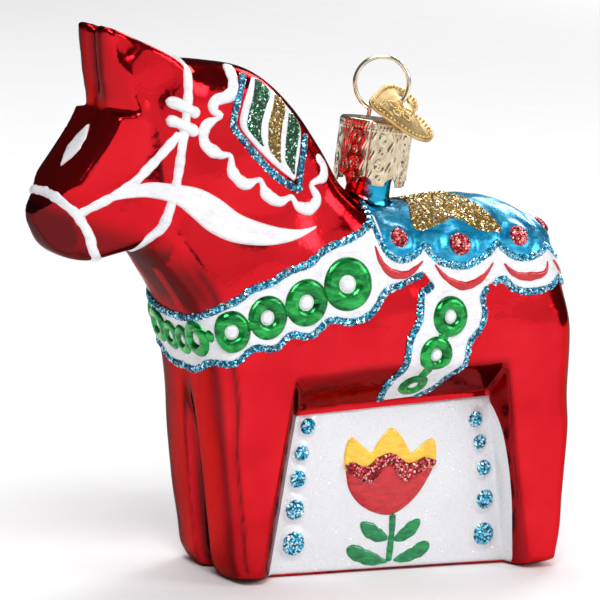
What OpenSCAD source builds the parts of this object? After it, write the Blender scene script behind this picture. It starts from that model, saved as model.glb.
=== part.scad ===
// Dala horse ornament: a blown glass horse with a stamped cap, a wire loop and a heart charm.
// Millimetres, +Z up, nose toward -X, origin on the floor below the middle of the horse.

/* [Horse] */
// Length from nose to rump
body_l = 102; // [80:1:130]
// Height from floor to ear tips
body_h = 93; // [75:1:120]
// Greatest width across the flanks
body_w = 28.4; // [23:0.2:36]
// Thickness of the glass wall
glass_t = 1.4; // [1:0.1:2]
// Half thickness of the web between the legs
web_half = 7; // [5.5:0.1:8.5]
// Depth of the groove between the two front feet
leg_groove = 5; // [2:0.5:6]

/* [Neck and cap] */
// Outer diameter of the glass neck
neck_d = 7.6; // [6:0.1:9]
// Bore of the glass neck
neck_bore = 5; // [3.6:0.1:6]
// Lean of the neck toward the tail, degrees
neck_lean = 4; // [0:1:8]
// Width of the cap across two opposite flutes
cap_w = 12.2; // [11:0.1:13.5]
// Height of the cap without its scalloped hem
cap_h = 9.6; // [8:0.1:13]
// Depth of the scallops along the hem
hem_h = 1.4; // [0.6:0.1:2]
// Thickness of the cap sheet
cap_t = 0.4; // [0.3:0.05:0.6]
// Glass neck that shows below the hem of the cap
cap_gap = 3.2; // [2.6:0.1:5]
// Gap between the rim of the neck and the cap top
rim_gap = 0.15; // [0.1:0.05:1]
// Diameter of the two holes in the cap top
leg_hole_d = 1.3; // [1:0.05:1.6]
// Distance between the two holes
leg_hole_gap = 3; // [2:0.1:3.4]

/* [Hanger and charm] */
// Diameter of the hanger wire
wire_d = 0.8; // [0.6:0.05:1]
// Middle radius of the hanging loop
loop_r = 4.6; // [3.5:0.1:7]
// Length of the wire legs below the cap top
wire_leg = 8; // [5:0.5:12]
// Width of the heart charm over its lobes
charm_w = 13.2; // [9:0.1:14]
// Thickness of the charm sheet
charm_t = 0.5; // [0.4:0.05:0.8]
// Diameter of the hole in the charm
charm_hole_d = 2.2; // [2:0.05:2.6]
// Place of the charm around the loop, degrees below the level
charm_at = 30; // [20:1:40]
// Tilt of the charm away from the wire, degrees
charm_tilt = 27; // [20:1:32]
// Height of the loop above the cap top
loop_gap = 1; // [0.4:0.1:2]

/* [Decoration] */
// Height of the white enamel lines above the glass
enamel_t = 0.35; // [0.2:0.05:0.6]
// Height of the glitter lines above the glass
glitter_t = 0.55; // [0.3:0.05:0.8]
// Height of the raised green rings above the glass
ring_t = 1.1; // [0.6:0.1:1.6]
// Depth that every painted layer reaches into the glass
bond = 0.2; // [0.1:0.05:0.4]
// Width of the bridle straps
strap_w = 1.6; // [1:0.1:2.4]
// Width of the blue glitter lines
edge_w = 1.1; // [0.7:0.1:1.6]

/* [Hidden] */

// ---- side outline of trunk and neck, then of the head, at 102 x 93 mm
TRUNK = [[-30,86.6],[-20,87],[-13,85.4],[-6,80.2],[0,73.2],[4.5,67],[10,63.8],[18,63.6],[29,64.8],
  [38,63.6],[45,59],[49,50.5],[50.4,40],[50.4,20],[49.8,4],[47,0],[30,0],[10,0],[-11,0],[-15,1.6],
  [-16.6,8],[-19.6,25],[-21.8,37],[-25,46],[-29.5,52],[-34,58],[-37,68],[-36,80]];
HEAD = [[-42.6,91.8],[-41.2,92.3],[-38.4,91.4],[-29,87.4],[-24.5,83],[-24.5,74],[-25.5,66],[-28,60.8],
  [-32,57.2],[-38,55.4],[-43,54.2],[-47.4,55.4],[-50.2,58.6],[-51.5,61.8],[-49,65.4],[-44.6,71.8],
  [-40.8,78.4],[-41.9,85.4]];
// stations on the sides: x, z, half width, edge radius, squareness
TRUNK_S = [[-25,82,8.5,6.5,2.2],[-15,68,10,8,2.2],[-3,72,8.5,7,2.2],[-12,50,12.5,8,2.3],
  [-18,38,13.2,6.5,2.4],[-12,18,12.8,4.5,2.8],[-10,3,12.2,3.2,2.8],[14,42,14.2,9,2.2],
  [14,58,12.5,11,2.1],[30,60,13.2,11,2.1],[43,55,13.2,10,2.2],[43,38,14,7.5,2.4],
  [46,18,13.2,4.5,2.8],[46,3,12.8,3.2,2.8]];
HEAD_S = [[-48,61,7,4,2.6],[-44,68,8.2,2.2,6],[-33,64,8.8,4.2,2.8],[-38,77,8.5,1.9,7],
  [-35,84,7.6,1.8,6],[-42,91,6,1.5,5],[-27,80,8.4,4,2.4]];

kx = body_l/102; ky = body_w/28.4; kz = body_h/93;
mid_x = 0.6;                       // brings the middle of the length onto the origin

function crom(P,k) = [for(i=[0:len(P)-1]) let(n=len(P), a=P[(i+n-1)%n], b=P[i], c=P[(i+1)%n],
  d=P[(i+2)%n]) for(j=[0:k-1]) let(t=j/k)
  0.5*(2*b+(c-a)*t+(2*a-5*b+4*c-d)*t*t+(3*b-a-3*c+d)*t*t*t)];
function segs(P) = [for(i=[0:len(P)-1]) let(a=P[i], e=P[(i+1)%len(P)]-a) [a.x,a.y,e.x,e.y,1/(e*e)]];
TS = segs(crom(TRUNK,2)); HS = segs(crom(HEAD,2));

// distance to an outline, positive inside
function inset(S,x,z) = let(
  m = min([for(s=S) let(px=x-s[0], pz=z-s[1], t=min(1,max(0,(px*s[2]+pz*s[3])*s[4])),
    qx=px-t*s[2], qz=pz-t*s[3]) qx*qx+qz*qz]),
  c = len([for(s=S) if((s[1]<=z)!=(s[1]+s[3]<=z) && x<s[0]+(z-s[1])*s[2]/s[3]) 1]))
  (c%2==1 ? 1 : -1)*sqrt(m);
function sum(v) = [for(i=v) 1]*v;
// half width, edge radius and squareness, blended between the stations
function blend(S,x,z) = let(w=[for(s=S) pow(pow(x-s[0],2)+pow(z-s[1],2)+4,-2)], t=sum(w))
  [w*[for(s=S) s[2]]/t, w*[for(s=S) s[3]]/t, w*[for(s=S) s[4]]/t];
function level(y,d,b) = let(u=max(0,1-d/b[1])) (1-pow(pow(abs(y)/b[0],b[2])+pow(u,b[2]),1/b[2]))*min(b[0],b[1]);
function smax(a,b,k) = let(h=min(1,max(0,0.5+0.5*(a-b)/k))) b*(1-h)+a*h+k*h*(1-h);
// everything about a point of the side view that does not depend on y
function side(x,z) = [x<-43 ? undef : [inset(TS,x,z), blend(TRUNK_S,x,z)],
                      x>-16 ? undef : [inset(HS,x,z), blend(HEAD_S,x,z)],
                      x>-30 || z<77 ? 30 : 0.722*x+0.152*z+19.95+9*max(0,1-(z-77)/2)];  // bevel from ear tip to brow
function depth2(y,f) = let(a=is_undef(f[0]) ? -9 : level(y,f[0][0],f[0][1]),
  b=is_undef(f[1]) ? -9 : min(level(y,f[1][0],f[1][1]),f[2]-0.675*abs(y))) smax(a,b,1.2);
// how deep a point lies inside the horse
function depth(p) = depth2(p.y, side(p.x,p.z));

// ---- skin of the horse as a closed net of cells of size h, where the depth is at least off
function cells(h,off) = let(nx=ceil(107/h), nz=ceil(97/h)+1, ny=2*ceil(15.6/h)+1,
  V=[for(i=[0:nx]) [for(k=[0:nz]) let(f=side(-53.6+h*i, -0.45*h+h*k),
    far=max(is_undef(f[0]) ? -9 : f[0][0], is_undef(f[1]) ? -9 : f[1][0]) < -h)
    [for(j=[0:ny]) far ? -9 : depth2((j-ny/2)*h,f)-off]]]) [nx,ny,nz,V];
CORNER = [for(a=[0,1]) for(b=[0,1]) for(c=[0,1]) [a,b,c]];
EDGE = [for(m=[0:7]) for(n=[m+1:7]) if(norm(CORNER[m]-CORNER[n])<1.1) [m,n]];
function toward(p) = let(e=0.2, f=depth(p), g=[depth(p+[e,0,0])-f, depth(p+[0,e,0])-f, depth(p+[0,0,e])-f]/e) [f,g];
module skin(h,off) {
  c = cells(h,off); nx=c[0]; ny=c[1]; nz=c[2]; V=c[3];
  A = [for(i=[0:nx-1]) [for(k=[0:nz-1]) [for(j=[0:ny-1]) let(n=len([for(q=CORNER)
      if(V[i+q[0]][k+q[1]][j+q[2]]>0) 1])) if(n>0 && n<8) j]]];
  B = [for(q=0,s=0; q<nx*nz; s=s+len(A[floor(q/nz)][q%nz]), q=q+1) s];
  pts = [for(i=[0:nx-1]) for(k=[0:nz-1]) for(j=A[i][k]) let(
      v=[for(q=CORNER) V[i+q[0]][k+q[1]][j+q[2]]],
      x=[for(e=EDGE) if((v[e[0]]>0)!=(v[e[1]]>0)) let(t=v[e[0]]/(v[e[0]]-v[e[1]]))
        CORNER[e[0]]*(1-t)+CORNER[e[1]]*t],
      m=[for(q=x) 1]*x/len(x),
      p=[-53.6+h*(i+m[0]), (j+m[2]-ny/2)*h, -0.45*h+h*(k+m[1])],
      g=toward(p), s=(g[0]-off)/max(0.3,g[1]*g[1]),
      w=p-g[1]*max(-h,min(h,s))) [w.x,w.y,max(0,w.z)]];
  function id(i,j,k) = B[i*nz+k] + len([for(a=A[i][k]) if(a<j) 1]);
  function q4(a,q) = a ? [[q[0],q[2],q[1]],[q[0],q[3],q[2]]] : [[q[0],q[1],q[2]],[q[0],q[2],q[3]]];
  tri = [for(i=[0:nx-1]) for(k=[0:nz-1]) for(j=[0:ny-1]) let(a=V[i][k][j]>0) each concat(
    j>0 && k>0 && a!=(V[i+1][k][j]>0) ? q4(a,[id(i,j-1,k-1),id(i,j,k-1),id(i,j,k),id(i,j-1,k)]) : [],
    i>0 && k>0 && a!=(V[i][k][j+1]>0) ? q4(a,[id(i-1,j,k-1),id(i-1,j,k),id(i,j,k),id(i,j,k-1)]) : [],
    i>0 && j>0 && a!=(V[i][k+1][j]>0) ? q4(a,[id(i-1,j-1,k),id(i,j-1,k),id(i,j,k),id(i-1,j,k)]) : [])];
  polyhedron(points=[for(p=pts) put(p)], faces=tri, convexity=8);
}
// from the 102 x 93 mm figure to the real one
function put(p) = [(p.x+mid_x)*kx, p.y*ky, p.z*kz];
function unit(v) = v/norm(v);

// ---- finding points on the surface; the sloped wall above the panel carries paint too
function faced(p) = let(d=depth(p)) p.x<0 || p.x>33 || p.z>40 || p.z<27 ? d : let(
  zi=28.8+(p.x+3.2)*2.5/37.9, zo=36.8+(p.x+7.4)*1.2/41.2, z=zi+(zo-zi)*(abs(p.y)-7)/7) min(d, max(7-abs(p.y), (p.z-z)*0.66));
function cast(o,v,lo=0,hi=24,k=12) = k==0 ? o+v*(lo+hi)/2 : let(m=(lo+hi)/2)
  faced(o+v*m)>0 ? cast(o,v,m,hi,k-1) : cast(o,v,lo,m,k-1);
function outward(p) = let(e=0.2, f=faced(p)) -unit([faced(p+[e,0,0])-f, faced(p+[0,e,0])-f, faced(p+[0,0,e])-f]);
// a station is x, z, turn toward the nose, tilt up, width
function at_surface(s) = let(o=[s[0],0,s[1]],
  v=[-sin(s[2])*cos(s[3]), -cos(s[2])*cos(s[3]), sin(s[3])], p=cast(o,v)) [p, outward(p)];
function flip(p) = [p.x,-p.y,p.z];
// real place and real outward direction of a surface point
function real(q) = [put(q[0]), unit([q[1].x/kx, q[1].y/ky, q[1].z/kz])];
function slide_on(p,n) = cast(p-n*1.6, n, 0, 3.2, 8);

// open or closed smooth path through stations
function smooth(S,k) = [for(i=[0:len(S)-2]) let(n=len(S)-1, a=S[max(0,i-1)], b=S[i], c=S[i+1], d=S[min(n,i+2)])
  for(j=[0:k-1]) let(t=j/k) 0.5*(2*b+(c-a)*t+(2*a-5*b+4*c-d)*t*t+(3*b-a-3*c+d)*t*t*t), S[len(S)-1]];
// two edges of a ribbon that lies on the surface; both=true carries it over to the other flank
function edges(S,both) = let(q=[for(s=S) at_surface(s)], n=len(S),
  c=[for(i=[0:n-1]) q[i][0]], w=[for(s=S) s[4]],
  t=[for(i=[0:n-1]) unit(c[min(n-1,i+1)]-c[max(0,i-1)])],
  r=[for(i=[0:n-1]) let(m=q[i][1], b=unit(cross(m,t[i]))*w[i]/2, l=slide_on(c[i]-b,m), h=slide_on(c[i]+b,m))
    [[l,outward(l)],[h,outward(h)]]],
  far=[for(i=[1:n-1]) let(e=r[n-1-i]) [[flip(e[0][0]),flip(e[0][1])],[flip(e[1][0]),flip(e[1][1])]]])
  both ? concat(r,far) : r;
function slab(e,t) = let(a=real(e[0]), b=real(e[1]))
  [a[0]-a[1]*bond, a[0]+a[1]*t*0.75, (a[0]+b[0])/2+unit(a[1]+b[1])*t, b[0]+b[1]*t*0.75, b[0]-b[1]*bond];
module link(a,b) hull() polyhedron(concat(a,b), [[0,1,2,3,4],[9,8,7,6,5],for(i=[0:4]) [i,5+i,5+(i+1)%5,(i+1)%5]]);
module ribbon(S,t,both=false) {
  e = edges(S,both); s = [for(q=e) slab(q,t)];
  for(i=[0:len(s)-2]) link(s[i],s[i+1]);
}
// a sheet between two rows of surface points
module sheet(R,t) {
  q = [for(r=R) [for(p=r) let(a=real(p)) [a[0]-a[1]*bond, a[0]+a[1]*t]]];
  for(i=[0:len(q)-2]) for(j=[0:len(q[i])-2]) hull()
    polyhedron(concat(q[i][j],q[i][j+1],q[i+1][j+1],q[i+1][j]),
      [[0,2,4,6],[7,5,3,1],for(k=[0:3]) [2*k,2*k+1,(2*k+3)%8,(2*k+2)%8]]);
}
// a sheet between two edges given as stations, at rows places and cols across
function pick(P,u) = let(n=len(P)-1, i=min(n-1,floor(u*n)), t=u*n-i) P[i]*(1-t)+P[i+1]*t;
module band(A,B,t,rows,cols,along=false) {
  r = [for(i=[0:rows]) let(a=pick(A,i/rows), b=pick(B,i/rows)) [for(j=[0:cols]) at_surface(a*(1-j/cols)+b*j/cols)]];
  sheet(along ? concat(r,[for(i=[1:rows]) [for(p=r[rows-i]) [flip(p[0]),flip(p[1])]]]) : r, t);
}
module both() { children(); mirror([0,1,0]) children(); }
// places children on the surface, z outward
module on(s) { q = real(at_surface(s)); n = q[1];
  translate(q[0]) rotate([0, acos(n.z), atan2(n.y,n.x)]) children(); }

// ---- paths on the flank: x, z, turn, tilt, width
NOSE_C = [-46.4,0,61];
function around(c,u,a0,a1,n,w) = [for(i=[0:n]) let(a=a0+(a1-a0)*i/n) [c,u,a,w]];
STRAP = [[-35.4,56.8,0,-6],[-33.6,58.8,0,0],[-32.2,60.4,0,0],[-31.3,62.9,0,0],[-30.4,66.5,0,0],[-29.7,70,0,0],[-28.9,76,0,0],
  [-28.6,80,0,0],[-28.4,81.6,0,18],[-28,82,0,42],[-27.5,82,0,66],[-27.2,82,0,90]];
CHEEK = [[-46.2,62.2,0,0],[-43.7,63.8,0,0],[-40.2,65.7,0,0],[-37.1,67.8,0,0],[-34.6,70.4,0,0],[-32,73.4,0,0],[-29.6,76,0,0]];
NOSEBAND = [[-43,57.6,-88,-62],[-43,57.4,-40,-48],[-42.6,57.4,0,-12],[-43.9,59,0,0],[-45.8,61.8,0,0],[-46.9,63,10,8],
  [-47,63,40,32],[-47,63,70,44],[-47,63,90,48]];
REIN_TOP = [[-42.6,64.9],[-38.6,66.7],[-34.6,67.9],[-30.2,67.7],[-25.8,67],[-21.9,65.2],[-17.9,62.7],[-12,60.9],[-7.3,60.4],[-3.7,60.9]];
REIN_LOW = [[-42.8,64.2],[-38.4,65.2],[-34.4,65.4],[-30.4,64.6],[-27.4,62.6],[-23.9,60],[-19.4,58.3],[-13.4,57.9],[-8,58.8],[-3.9,60.5]];
SCALLOP = [[-18.7,82,0,60],[-19.3,82.6,0,30],[-20.2,82.6,0,0],[-23.4,81.2,0,0],[-23.4,79.6,0,0],[-22.2,78.8,0,0],[-24.9,77,0,0],
  [-24.9,74.2,0,0],[-22.4,72.6,0,0],[-20.6,72.4,0,0],[-20.1,69.8,0,0],[-17.6,67.8,0,0],[-15,68.5,0,0],[-13.6,66.2,0,0],
  [-11,64.9,0,0],[-8.7,65.6,0,0],[-7.2,64.1,0,0],[-4.7,63.7,0,0],[-3.3,65.4,0,0],[-4.4,67.6,0,0],[-1.9,68.8,0,0],[-1.6,70.6,0,0],[-3.2,72.3,0,0]];
MANE_LEFT = [[-15.5,80,0,42],[-17.7,82.2],[-18.5,79.8],[-18.7,77.2],[-17,74.9],[-14.2,72.3],[-11.2,70.1],[-8.2,68.3]];
MANE_RIGHT = [[-14.4,80,0,42],[-11.3,82.6],[-9,80.5],[-7.4,78.8],[-6.4,77],[-6.9,73.6],[-7.3,71],[-7.8,68.5]];
GREEN_1 = [[[-15.1,80,0,40],[-16.5,82.5],[-17.4,79.6],[-17.7,77.2],[-16.9,75.9],[-14.8,73.9]],
  [[-14.2,80,0,38],[-12.6,82.7],[-13.9,80.6],[-14.8,78.2],[-15.1,76],[-14.6,73.9]]];
GOLD_1 = [[[-11.7,82.3],[-12.9,80.4],[-13.9,78],[-14,75.4],[-13.7,73.5],[-11.4,71.2]],
  [[-11.2,82.3],[-9.6,80.4],[-10.8,77.6],[-11.2,75],[-11.3,73],[-11.1,71.1]]];
GREEN_2 = [[[-8.9,79.8],[-9.9,77.8],[-10.4,75.4],[-10.5,72.8],[-10.3,71.4],[-8.3,69.2]],
  [[-8.4,79.6],[-6.8,77.2],[-7.4,74.6],[-7.8,72.4],[-8,70.8],[-8,69.1]]];
MANE_EDGE = [[-17,80,0,45],[-18.9,82.4,0,0],[-19.6,79.8,0,0],[-19.8,77.1,0,0],[-18,74.6,0,0],[-15,71.6,0,0],[-11.6,68.9,0,0],
  [-8.6,67.4,0,0],[-6.9,66.9,0,0],[-6.9,68.4,0,0],[-6.6,70.6,0,0],[-6.1,73.2,0,0],[-5.5,75.8,0,0]];
COLLAR_TOP = [[8.5,62.6,0],[7.4,61.6,0],[5,60.2,0],[1.6,58.6,0],[-2.6,57,0],[-6,54.8,0],[-10.2,53.4,0],[-12.6,51.9,0],[-16.6,50.6,0],
  [-14.3,49.2,19],[-14,47.6,33],[-14,45.8,47],[-14,45,60],[-14,44.7,79],[-14,44.7,90]];
COLLAR_LOW = [[9.4,50.8,0],[7.9,49.4,0],[5.6,46.4,0],[2.3,45.1,0],[-1.4,45.4,0],[-4.8,42.9,0],[-8.8,43,0],[-11.6,41,0],[-15.8,41,0],
  [-14,38.6,22],[-14,38.2,38],[-14,36.2,57],[-14,36,80],[-14,36.2,90]];
GIRTH_L = [[16.2,53.3],[17.6,51.6],[17.4,50.6],[15.7,49.6],[15.3,47],[15.1,45],[13.8,42.4],[13.5,40.6],[13.2,37.2],[12.2,34.6],[12,32.4],[12.6,30.2]];
GIRTH_R = [[30,52.6],[28.9,50.8],[27.9,49.2],[28.1,47.6],[28.4,46],[27.7,43.6],[25.7,41.4],[25.3,39],[25,37.2],[23,35],[22,33],[19,30.8]];
ring_at = [[1.5,51.4,0,0,4.6],[-6.1,48.3,0,0,3.7],[-13.5,45.9,0,0,3.4],[-14,43.4,24.7,0,3.1],[-14,41.3,53,0,2.7],[-14,40.4,76,0,2.3]];
girth_at = [[21.3,45.8,0,0,3.5],[18.9,39.4,0,0,3.1],[17.1,33.7,0,0,2.6]];
HEM = [[8.2,54,0,70],[7.6,54,0,52],[7.2,54,0,36],[7.8,54,0,22],[9.2,54,0,11],[11.6,54,0,6],[14.2,54,0,9],[16.6,54,0,16.5],
  [19.2,54,0,5],[23.7,54,0,1.3],[28,54,0,9],[30.5,54,0,18],[33.3,54,0,9],[36.6,54,0,7],[38,54,-10,12],[38,54,-17,17],
  [38,54,-34,8],[38,54,-53,5],[38,54,-72,10],[38,54,-86,18],[38,54,-90,19]];
SPINE = [[8.8,54,0,88],[12,54,0,90],[18,54,0,90],[24,54,-10,90],[30,54,-40,90],[35,54,-78,88],[38,54,-90,76],[38,54,-90,60],
  [38,54,-90,46],[38,54,-90,34]];
BORDER_LOW = [[9.2,50.7],[11.6,51.2],[14,52.2],[16.2,53.1],[19,52.6],[23,51.8],[27.4,51],[29.8,51.3],[31.8,52.1],[33.6,50.8],
  [36,49.9],[38,50,-5],[38,50.6,-17],[38,51.8,-30],[38,51.2,-40],[38,50.4,-56],[38,51,-72],[38,52,-84],[38,52.2,-90]];
function full(S) = [for(s=S) [s[0], s[1], len(s)>2 ? s[2] : 0, len(s)>3 ? s[3] : 0]];
function wide(S,w) = [for(s=S) [s[0],s[1],s[2],s[3],w]];
// a line beside a path, with bumps in step with the rings
function beside(S,d,bump,per) = [for(i=[0:len(S)-1]) let(a=S[max(0,i-1)], b=S[min(len(S)-1,i+1)],
  t=unit([b[0]-a[0]-(b[2]-a[2])*0.1, b[1]-a[1]]), k=d+sign(d)*bump*abs(cos(180*i/per)))
  [S[i][0]-t.y*k*(S[i][2]>30 ? 0 : 1), S[i][1]+(S[i][2]>30 ? 1 : t.x)*k, S[i][2], S[i][3], edge_w]];

// ---- glass
neck_x = 11.4; neck_z = 63.6;                 // where the neck leaves the back
cap_top = cap_gap+hem_h+cap_h-cap_t;           // underside of the cap top above the back, on the neck
neck_h = cap_top-rim_gap;
module neck_frame() translate(put([neck_x,0,neck_z])) rotate([0,neck_lean,0]) children();
module recess(g) both() hull() {               // hollow beside the web; g makes it larger all round
  a = [[-12.4-g,-6],[43.8+g,-6],[33.8+g,38+g],[-7.4-g,36.8+g]];
  b = [[-7-g,-6],[42+g,-6],[34.7+g,31.3+g],[-3.2-g,28.8+g]];
  for(q=[[2*a-b,-14],[b,0]]) translate([0,-web_half+g+q[1],0]) rotate([90,0,0]) linear_extrude(0.01)
    polygon([for(p=q[0]) let(w=put([p.x,0,p.y])) [w.x,w.z]]);
}
module grooves(g) {                            // between the front feet, the hind feet and the ears
  for(f=[[-17,-20.2,36,leg_groove],[50.6,51.2,34,leg_groove*0.6]]) { s = f[0]<0 ? 1 : -1;
    hull() { translate(put([f[0]-s*3,0,-1])) cube([0.02,3+2*g,0.02],center=true);
      translate(put([f[0]+s*(f[3]+g),0,-1])) cube([0.02,0.3+2*g,0.02],center=true);
      translate(put([f[1]-s*3,0,f[2]])) cube([0.02,2.4+2*g,0.02],center=true);
      translate(put([f[1],0,f[2]])) cube([0.02,0.3+2*g,0.02],center=true); } }
  hull() { translate(put([-47,0,95])) cube([0.1,5+2*g,0.1],center=true);
    translate(put([-41.2+g,0,95])) cube([0.1,0.3+2*g,0.1],center=true);
    translate(put([-46,0,80])) cube([0.1,4+2*g,0.1],center=true);
    translate(put([-40.9+g,0,81])) cube([0.1,0.3+2*g,0.1],center=true); }
}
module glass_body() color([0.75,0.08,0.12]) difference() {
  union() {
    difference() { skin(2.45,0); recess(0); grooves(0); }
    neck_frame() { translate([0,0,-4]) cylinder(d=neck_d, h=4+neck_h, $fn=40);
      for(i=[0:7]) hull() for(q=[i,i+1]) translate([0,0,-1.6+0.3*q]) cylinder(d=neck_d+3*pow(1-q/8,2), h=0.01, $fn=32); }
  }
  difference() { skin(3.5,glass_t); recess(glass_t); grooves(glass_t); }
  neck_frame() translate([0,0,-8]) cylinder(d=neck_bore, h=9+neck_h, $fn=32);
}

// ---- cap: eight flutes, a top with two holes and a scalloped hem
function lobes(r) = [for(i=[0:63]) let(a=i*360/64, k=((a+22.5)%45)-22.5, d=r/cos(k)*(1-0.035*pow(abs(k)/22.5,4)))
  d*[cos(a),sin(a)]];
module cap_frame() neck_frame() rotate([0,0,-10.6]) children();
module cap() color([0.83,0.77,0.62]) cap_frame() difference() {
  translate([0,0,cap_gap]) linear_extrude(cap_h+hem_h) polygon(lobes(cap_w/2));
  translate([0,0,cap_gap-1]) linear_extrude(cap_h+hem_h+1-cap_t) polygon(lobes(cap_w/2-cap_t));
  for(i=[0:7]) rotate([0,0,22.5+45*i]) translate([cap_w/2,0,cap_gap]) rotate([0,90,0])
    cylinder(r=hem_h, h=cap_w, center=true, $fn=24);
  for(s=[-1,1]) rotate([0,0,loop_turn+10.6]) translate([s*leg_hole_gap/2,0,cap_top-1]) cylinder(d=leg_hole_d, h=3, $fn=24);
}

// ---- hanger: a round loop above the cap and two legs in the neck
loop_turn = -27;
loop_z = cap_top+cap_t+loop_r+wire_d/2+loop_gap;
loop_open = asin((leg_hole_gap/2)/(loop_r));
module loop_frame() neck_frame() rotate([0,0,loop_turn]) children();
module hanger_wire() color([0.85,0.8,0.6]) loop_frame() {
  translate([0,0,loop_z]) rotate([90,0,0]) rotate([0,0,-90+loop_open]) rotate_extrude(angle=360-2*loop_open, $fn=64)
    translate([loop_r,0]) circle(d=wire_d, $fn=24);
  for(s=[-1,1]) {
    translate([s*leg_hole_gap/2,0,cap_top-wire_leg]) cylinder(d=wire_d, h=wire_leg+loop_z-cap_top-sqrt(pow(loop_r,2)-pow(leg_hole_gap/2,2)), $fn=24);
    translate([s*leg_hole_gap/2,0,loop_z-sqrt(pow(loop_r,2)-pow(leg_hole_gap/2,2))]) sphere(d=wire_d, $fn=24);
  }
}

// ---- heart charm, hung in one lobe; the hole is its origin
hx = charm_w/12.8; // the heart outline is drawn 12.8 wide
module heart() polygon([for(p=crom([[0,3.4],[1.6,5],[4.2,5.6],[6.2,3.6],[6,0.4],[3.6,-3],[0,-6.4],[-3.6,-3],[-6,0.4],
  [-6.2,3.6],[-4.2,5.6],[-1.6,5]],4)) p*hx]);
module charm_frame() loop_frame() translate([0,0,loop_z]) rotate([0,charm_at,0]) translate([loop_r,0,0])
  rotate([charm_tilt,0,0]) children();
module heart_charm() color([0.72,0.56,0.28]) charm_frame() difference() {
  rotate([0,0,-47.5]) translate([3*hx,-2.6*hx,0]) linear_extrude(charm_t, center=true) heart();
  cylinder(d=charm_hole_d, h=4, center=true, $fn=32);
}

// ---- painted layers
WHITE = [0.93,0.93,0.95]; BLUE = [0.1,0.55,0.72]; GREEN = [0.05,0.5,0.25]; GOLD = [0.75,0.6,0.15]; RED = [0.7,0.05,0.1];
function ring_station(c,u,a) = let(v=[0,-cos(a),0]+u*sin(a), p=cast(c,v)) [p,outward(p)];
module hoop(c,u,a0,a1,n,w,t) {
  q = [for(i=[0:n]) ring_station(c,u,a0+(a1-a0)*i/n)];
  m = cross([0,1,0],u);
  e = [for(p=q) let(b=unit(m-(m*p[1])*p[1])*w/2, l=slide_on(p[0]-b,p[1]), h=slide_on(p[0]+b,p[1])) [[l,outward(l)],[h,outward(h)]]];
  s = [for(k=e) slab(k,t)];
  for(i=[0:n-1]) link(s[i],s[i+1]);
}
module bridle_straps() color(WHITE) {
  ribbon(smooth(wide(full(NOSEBAND),strap_w),2), enamel_t, true);
  ribbon(smooth(wide(STRAP,strap_w),2), enamel_t, true);
  both() { ribbon(smooth(wide(CHEEK,strap_w),2), enamel_t);
    for(z=[80.2,77.2]) ribbon(smooth([[-32.3,z+0.9,0,0,0.8],[-30.4,z+0.5,0,0,1.9],[-28.4,z-0.3,0,0,1.9],[-26.2,z-1.3,0,0,0.8]],2), enamel_t*1.8); }
}
module rein() color(WHITE) both() band(full(REIN_TOP),full(REIN_LOW),enamel_t,20,2);
module face_blaze() color(WHITE) ribbon([for(i=[0:8]) [-37.6-0.64*i, 73.4-0.82*i, 90, 35, 0.3+4.4*pow(sin(180*i/8),1.2)]], enamel_t);
module mane_scallops() color(WHITE) both() ribbon(smooth(wide(SCALLOP,1.5),2), enamel_t);
module mane_white_lines() color(WHITE) both() band(full(MANE_LEFT),full(MANE_RIGHT),enamel_t*0.5,14,3);
module mane_glitter_border() color(BLUE) both() ribbon(smooth(wide(MANE_EDGE,edge_w),2), glitter_t);
module mane_green_stripes() color(GREEN) both() for(s=[GREEN_1,GREEN_2]) band(full(s[0]),full(s[1]),glitter_t*0.8,10,2);
module mane_gold_stripe() color(GOLD) both() band(full(GOLD_1[0]),full(GOLD_1[1]),glitter_t*0.8,10,2);
module collar_band() color(WHITE) band(full(COLLAR_TOP),full(COLLAR_LOW),enamel_t*0.7,28,3,true);
module ring(r,t) translate([0,0,-bond]) rotate_extrude($fn=48) polygon([[r*0.36,0],[r*0.42,t*0.7],[r*0.62,t+bond],[r*0.8,t+bond],[r*0.95,t*0.7],[r,0]]);
module collar_rings() color(GREEN) both() for(s=ring_at) on(s) ring(s[4],ring_t);
module dot(r,t) translate([0,0,-bond]) rotate_extrude($fn=32) polygon([[0,0],[r,0],[r*0.9,bond+t*0.5],[r*0.55,bond+t*0.9],[0,bond+t]]);
module collar_dots() color(WHITE) both() for(s=ring_at) on(s) dot(s[4]*0.3,ring_t*0.9);
module collar_glitter_edges() color(BLUE) for(S=[COLLAR_TOP,COLLAR_LOW]) ribbon(smooth(wide(full(S),edge_w),2), glitter_t, true);
module girth_band() color(WHITE) both() band(full(GIRTH_L),full(GIRTH_R),enamel_t*0.7,18,3);
module girth_rings() color(GREEN) both() for(s=girth_at) on(s) ring(s[4],ring_t);
module girth_dots() color(WHITE) both() for(s=girth_at) on(s) dot(s[4]*0.3,ring_t*0.9);
module girth_glitter_edges() color(BLUE) both() for(S=[GIRTH_L,GIRTH_R]) ribbon(smooth(wide(full([for(i=[1:11]) S[i]]),edge_w),2), glitter_t);
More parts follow.
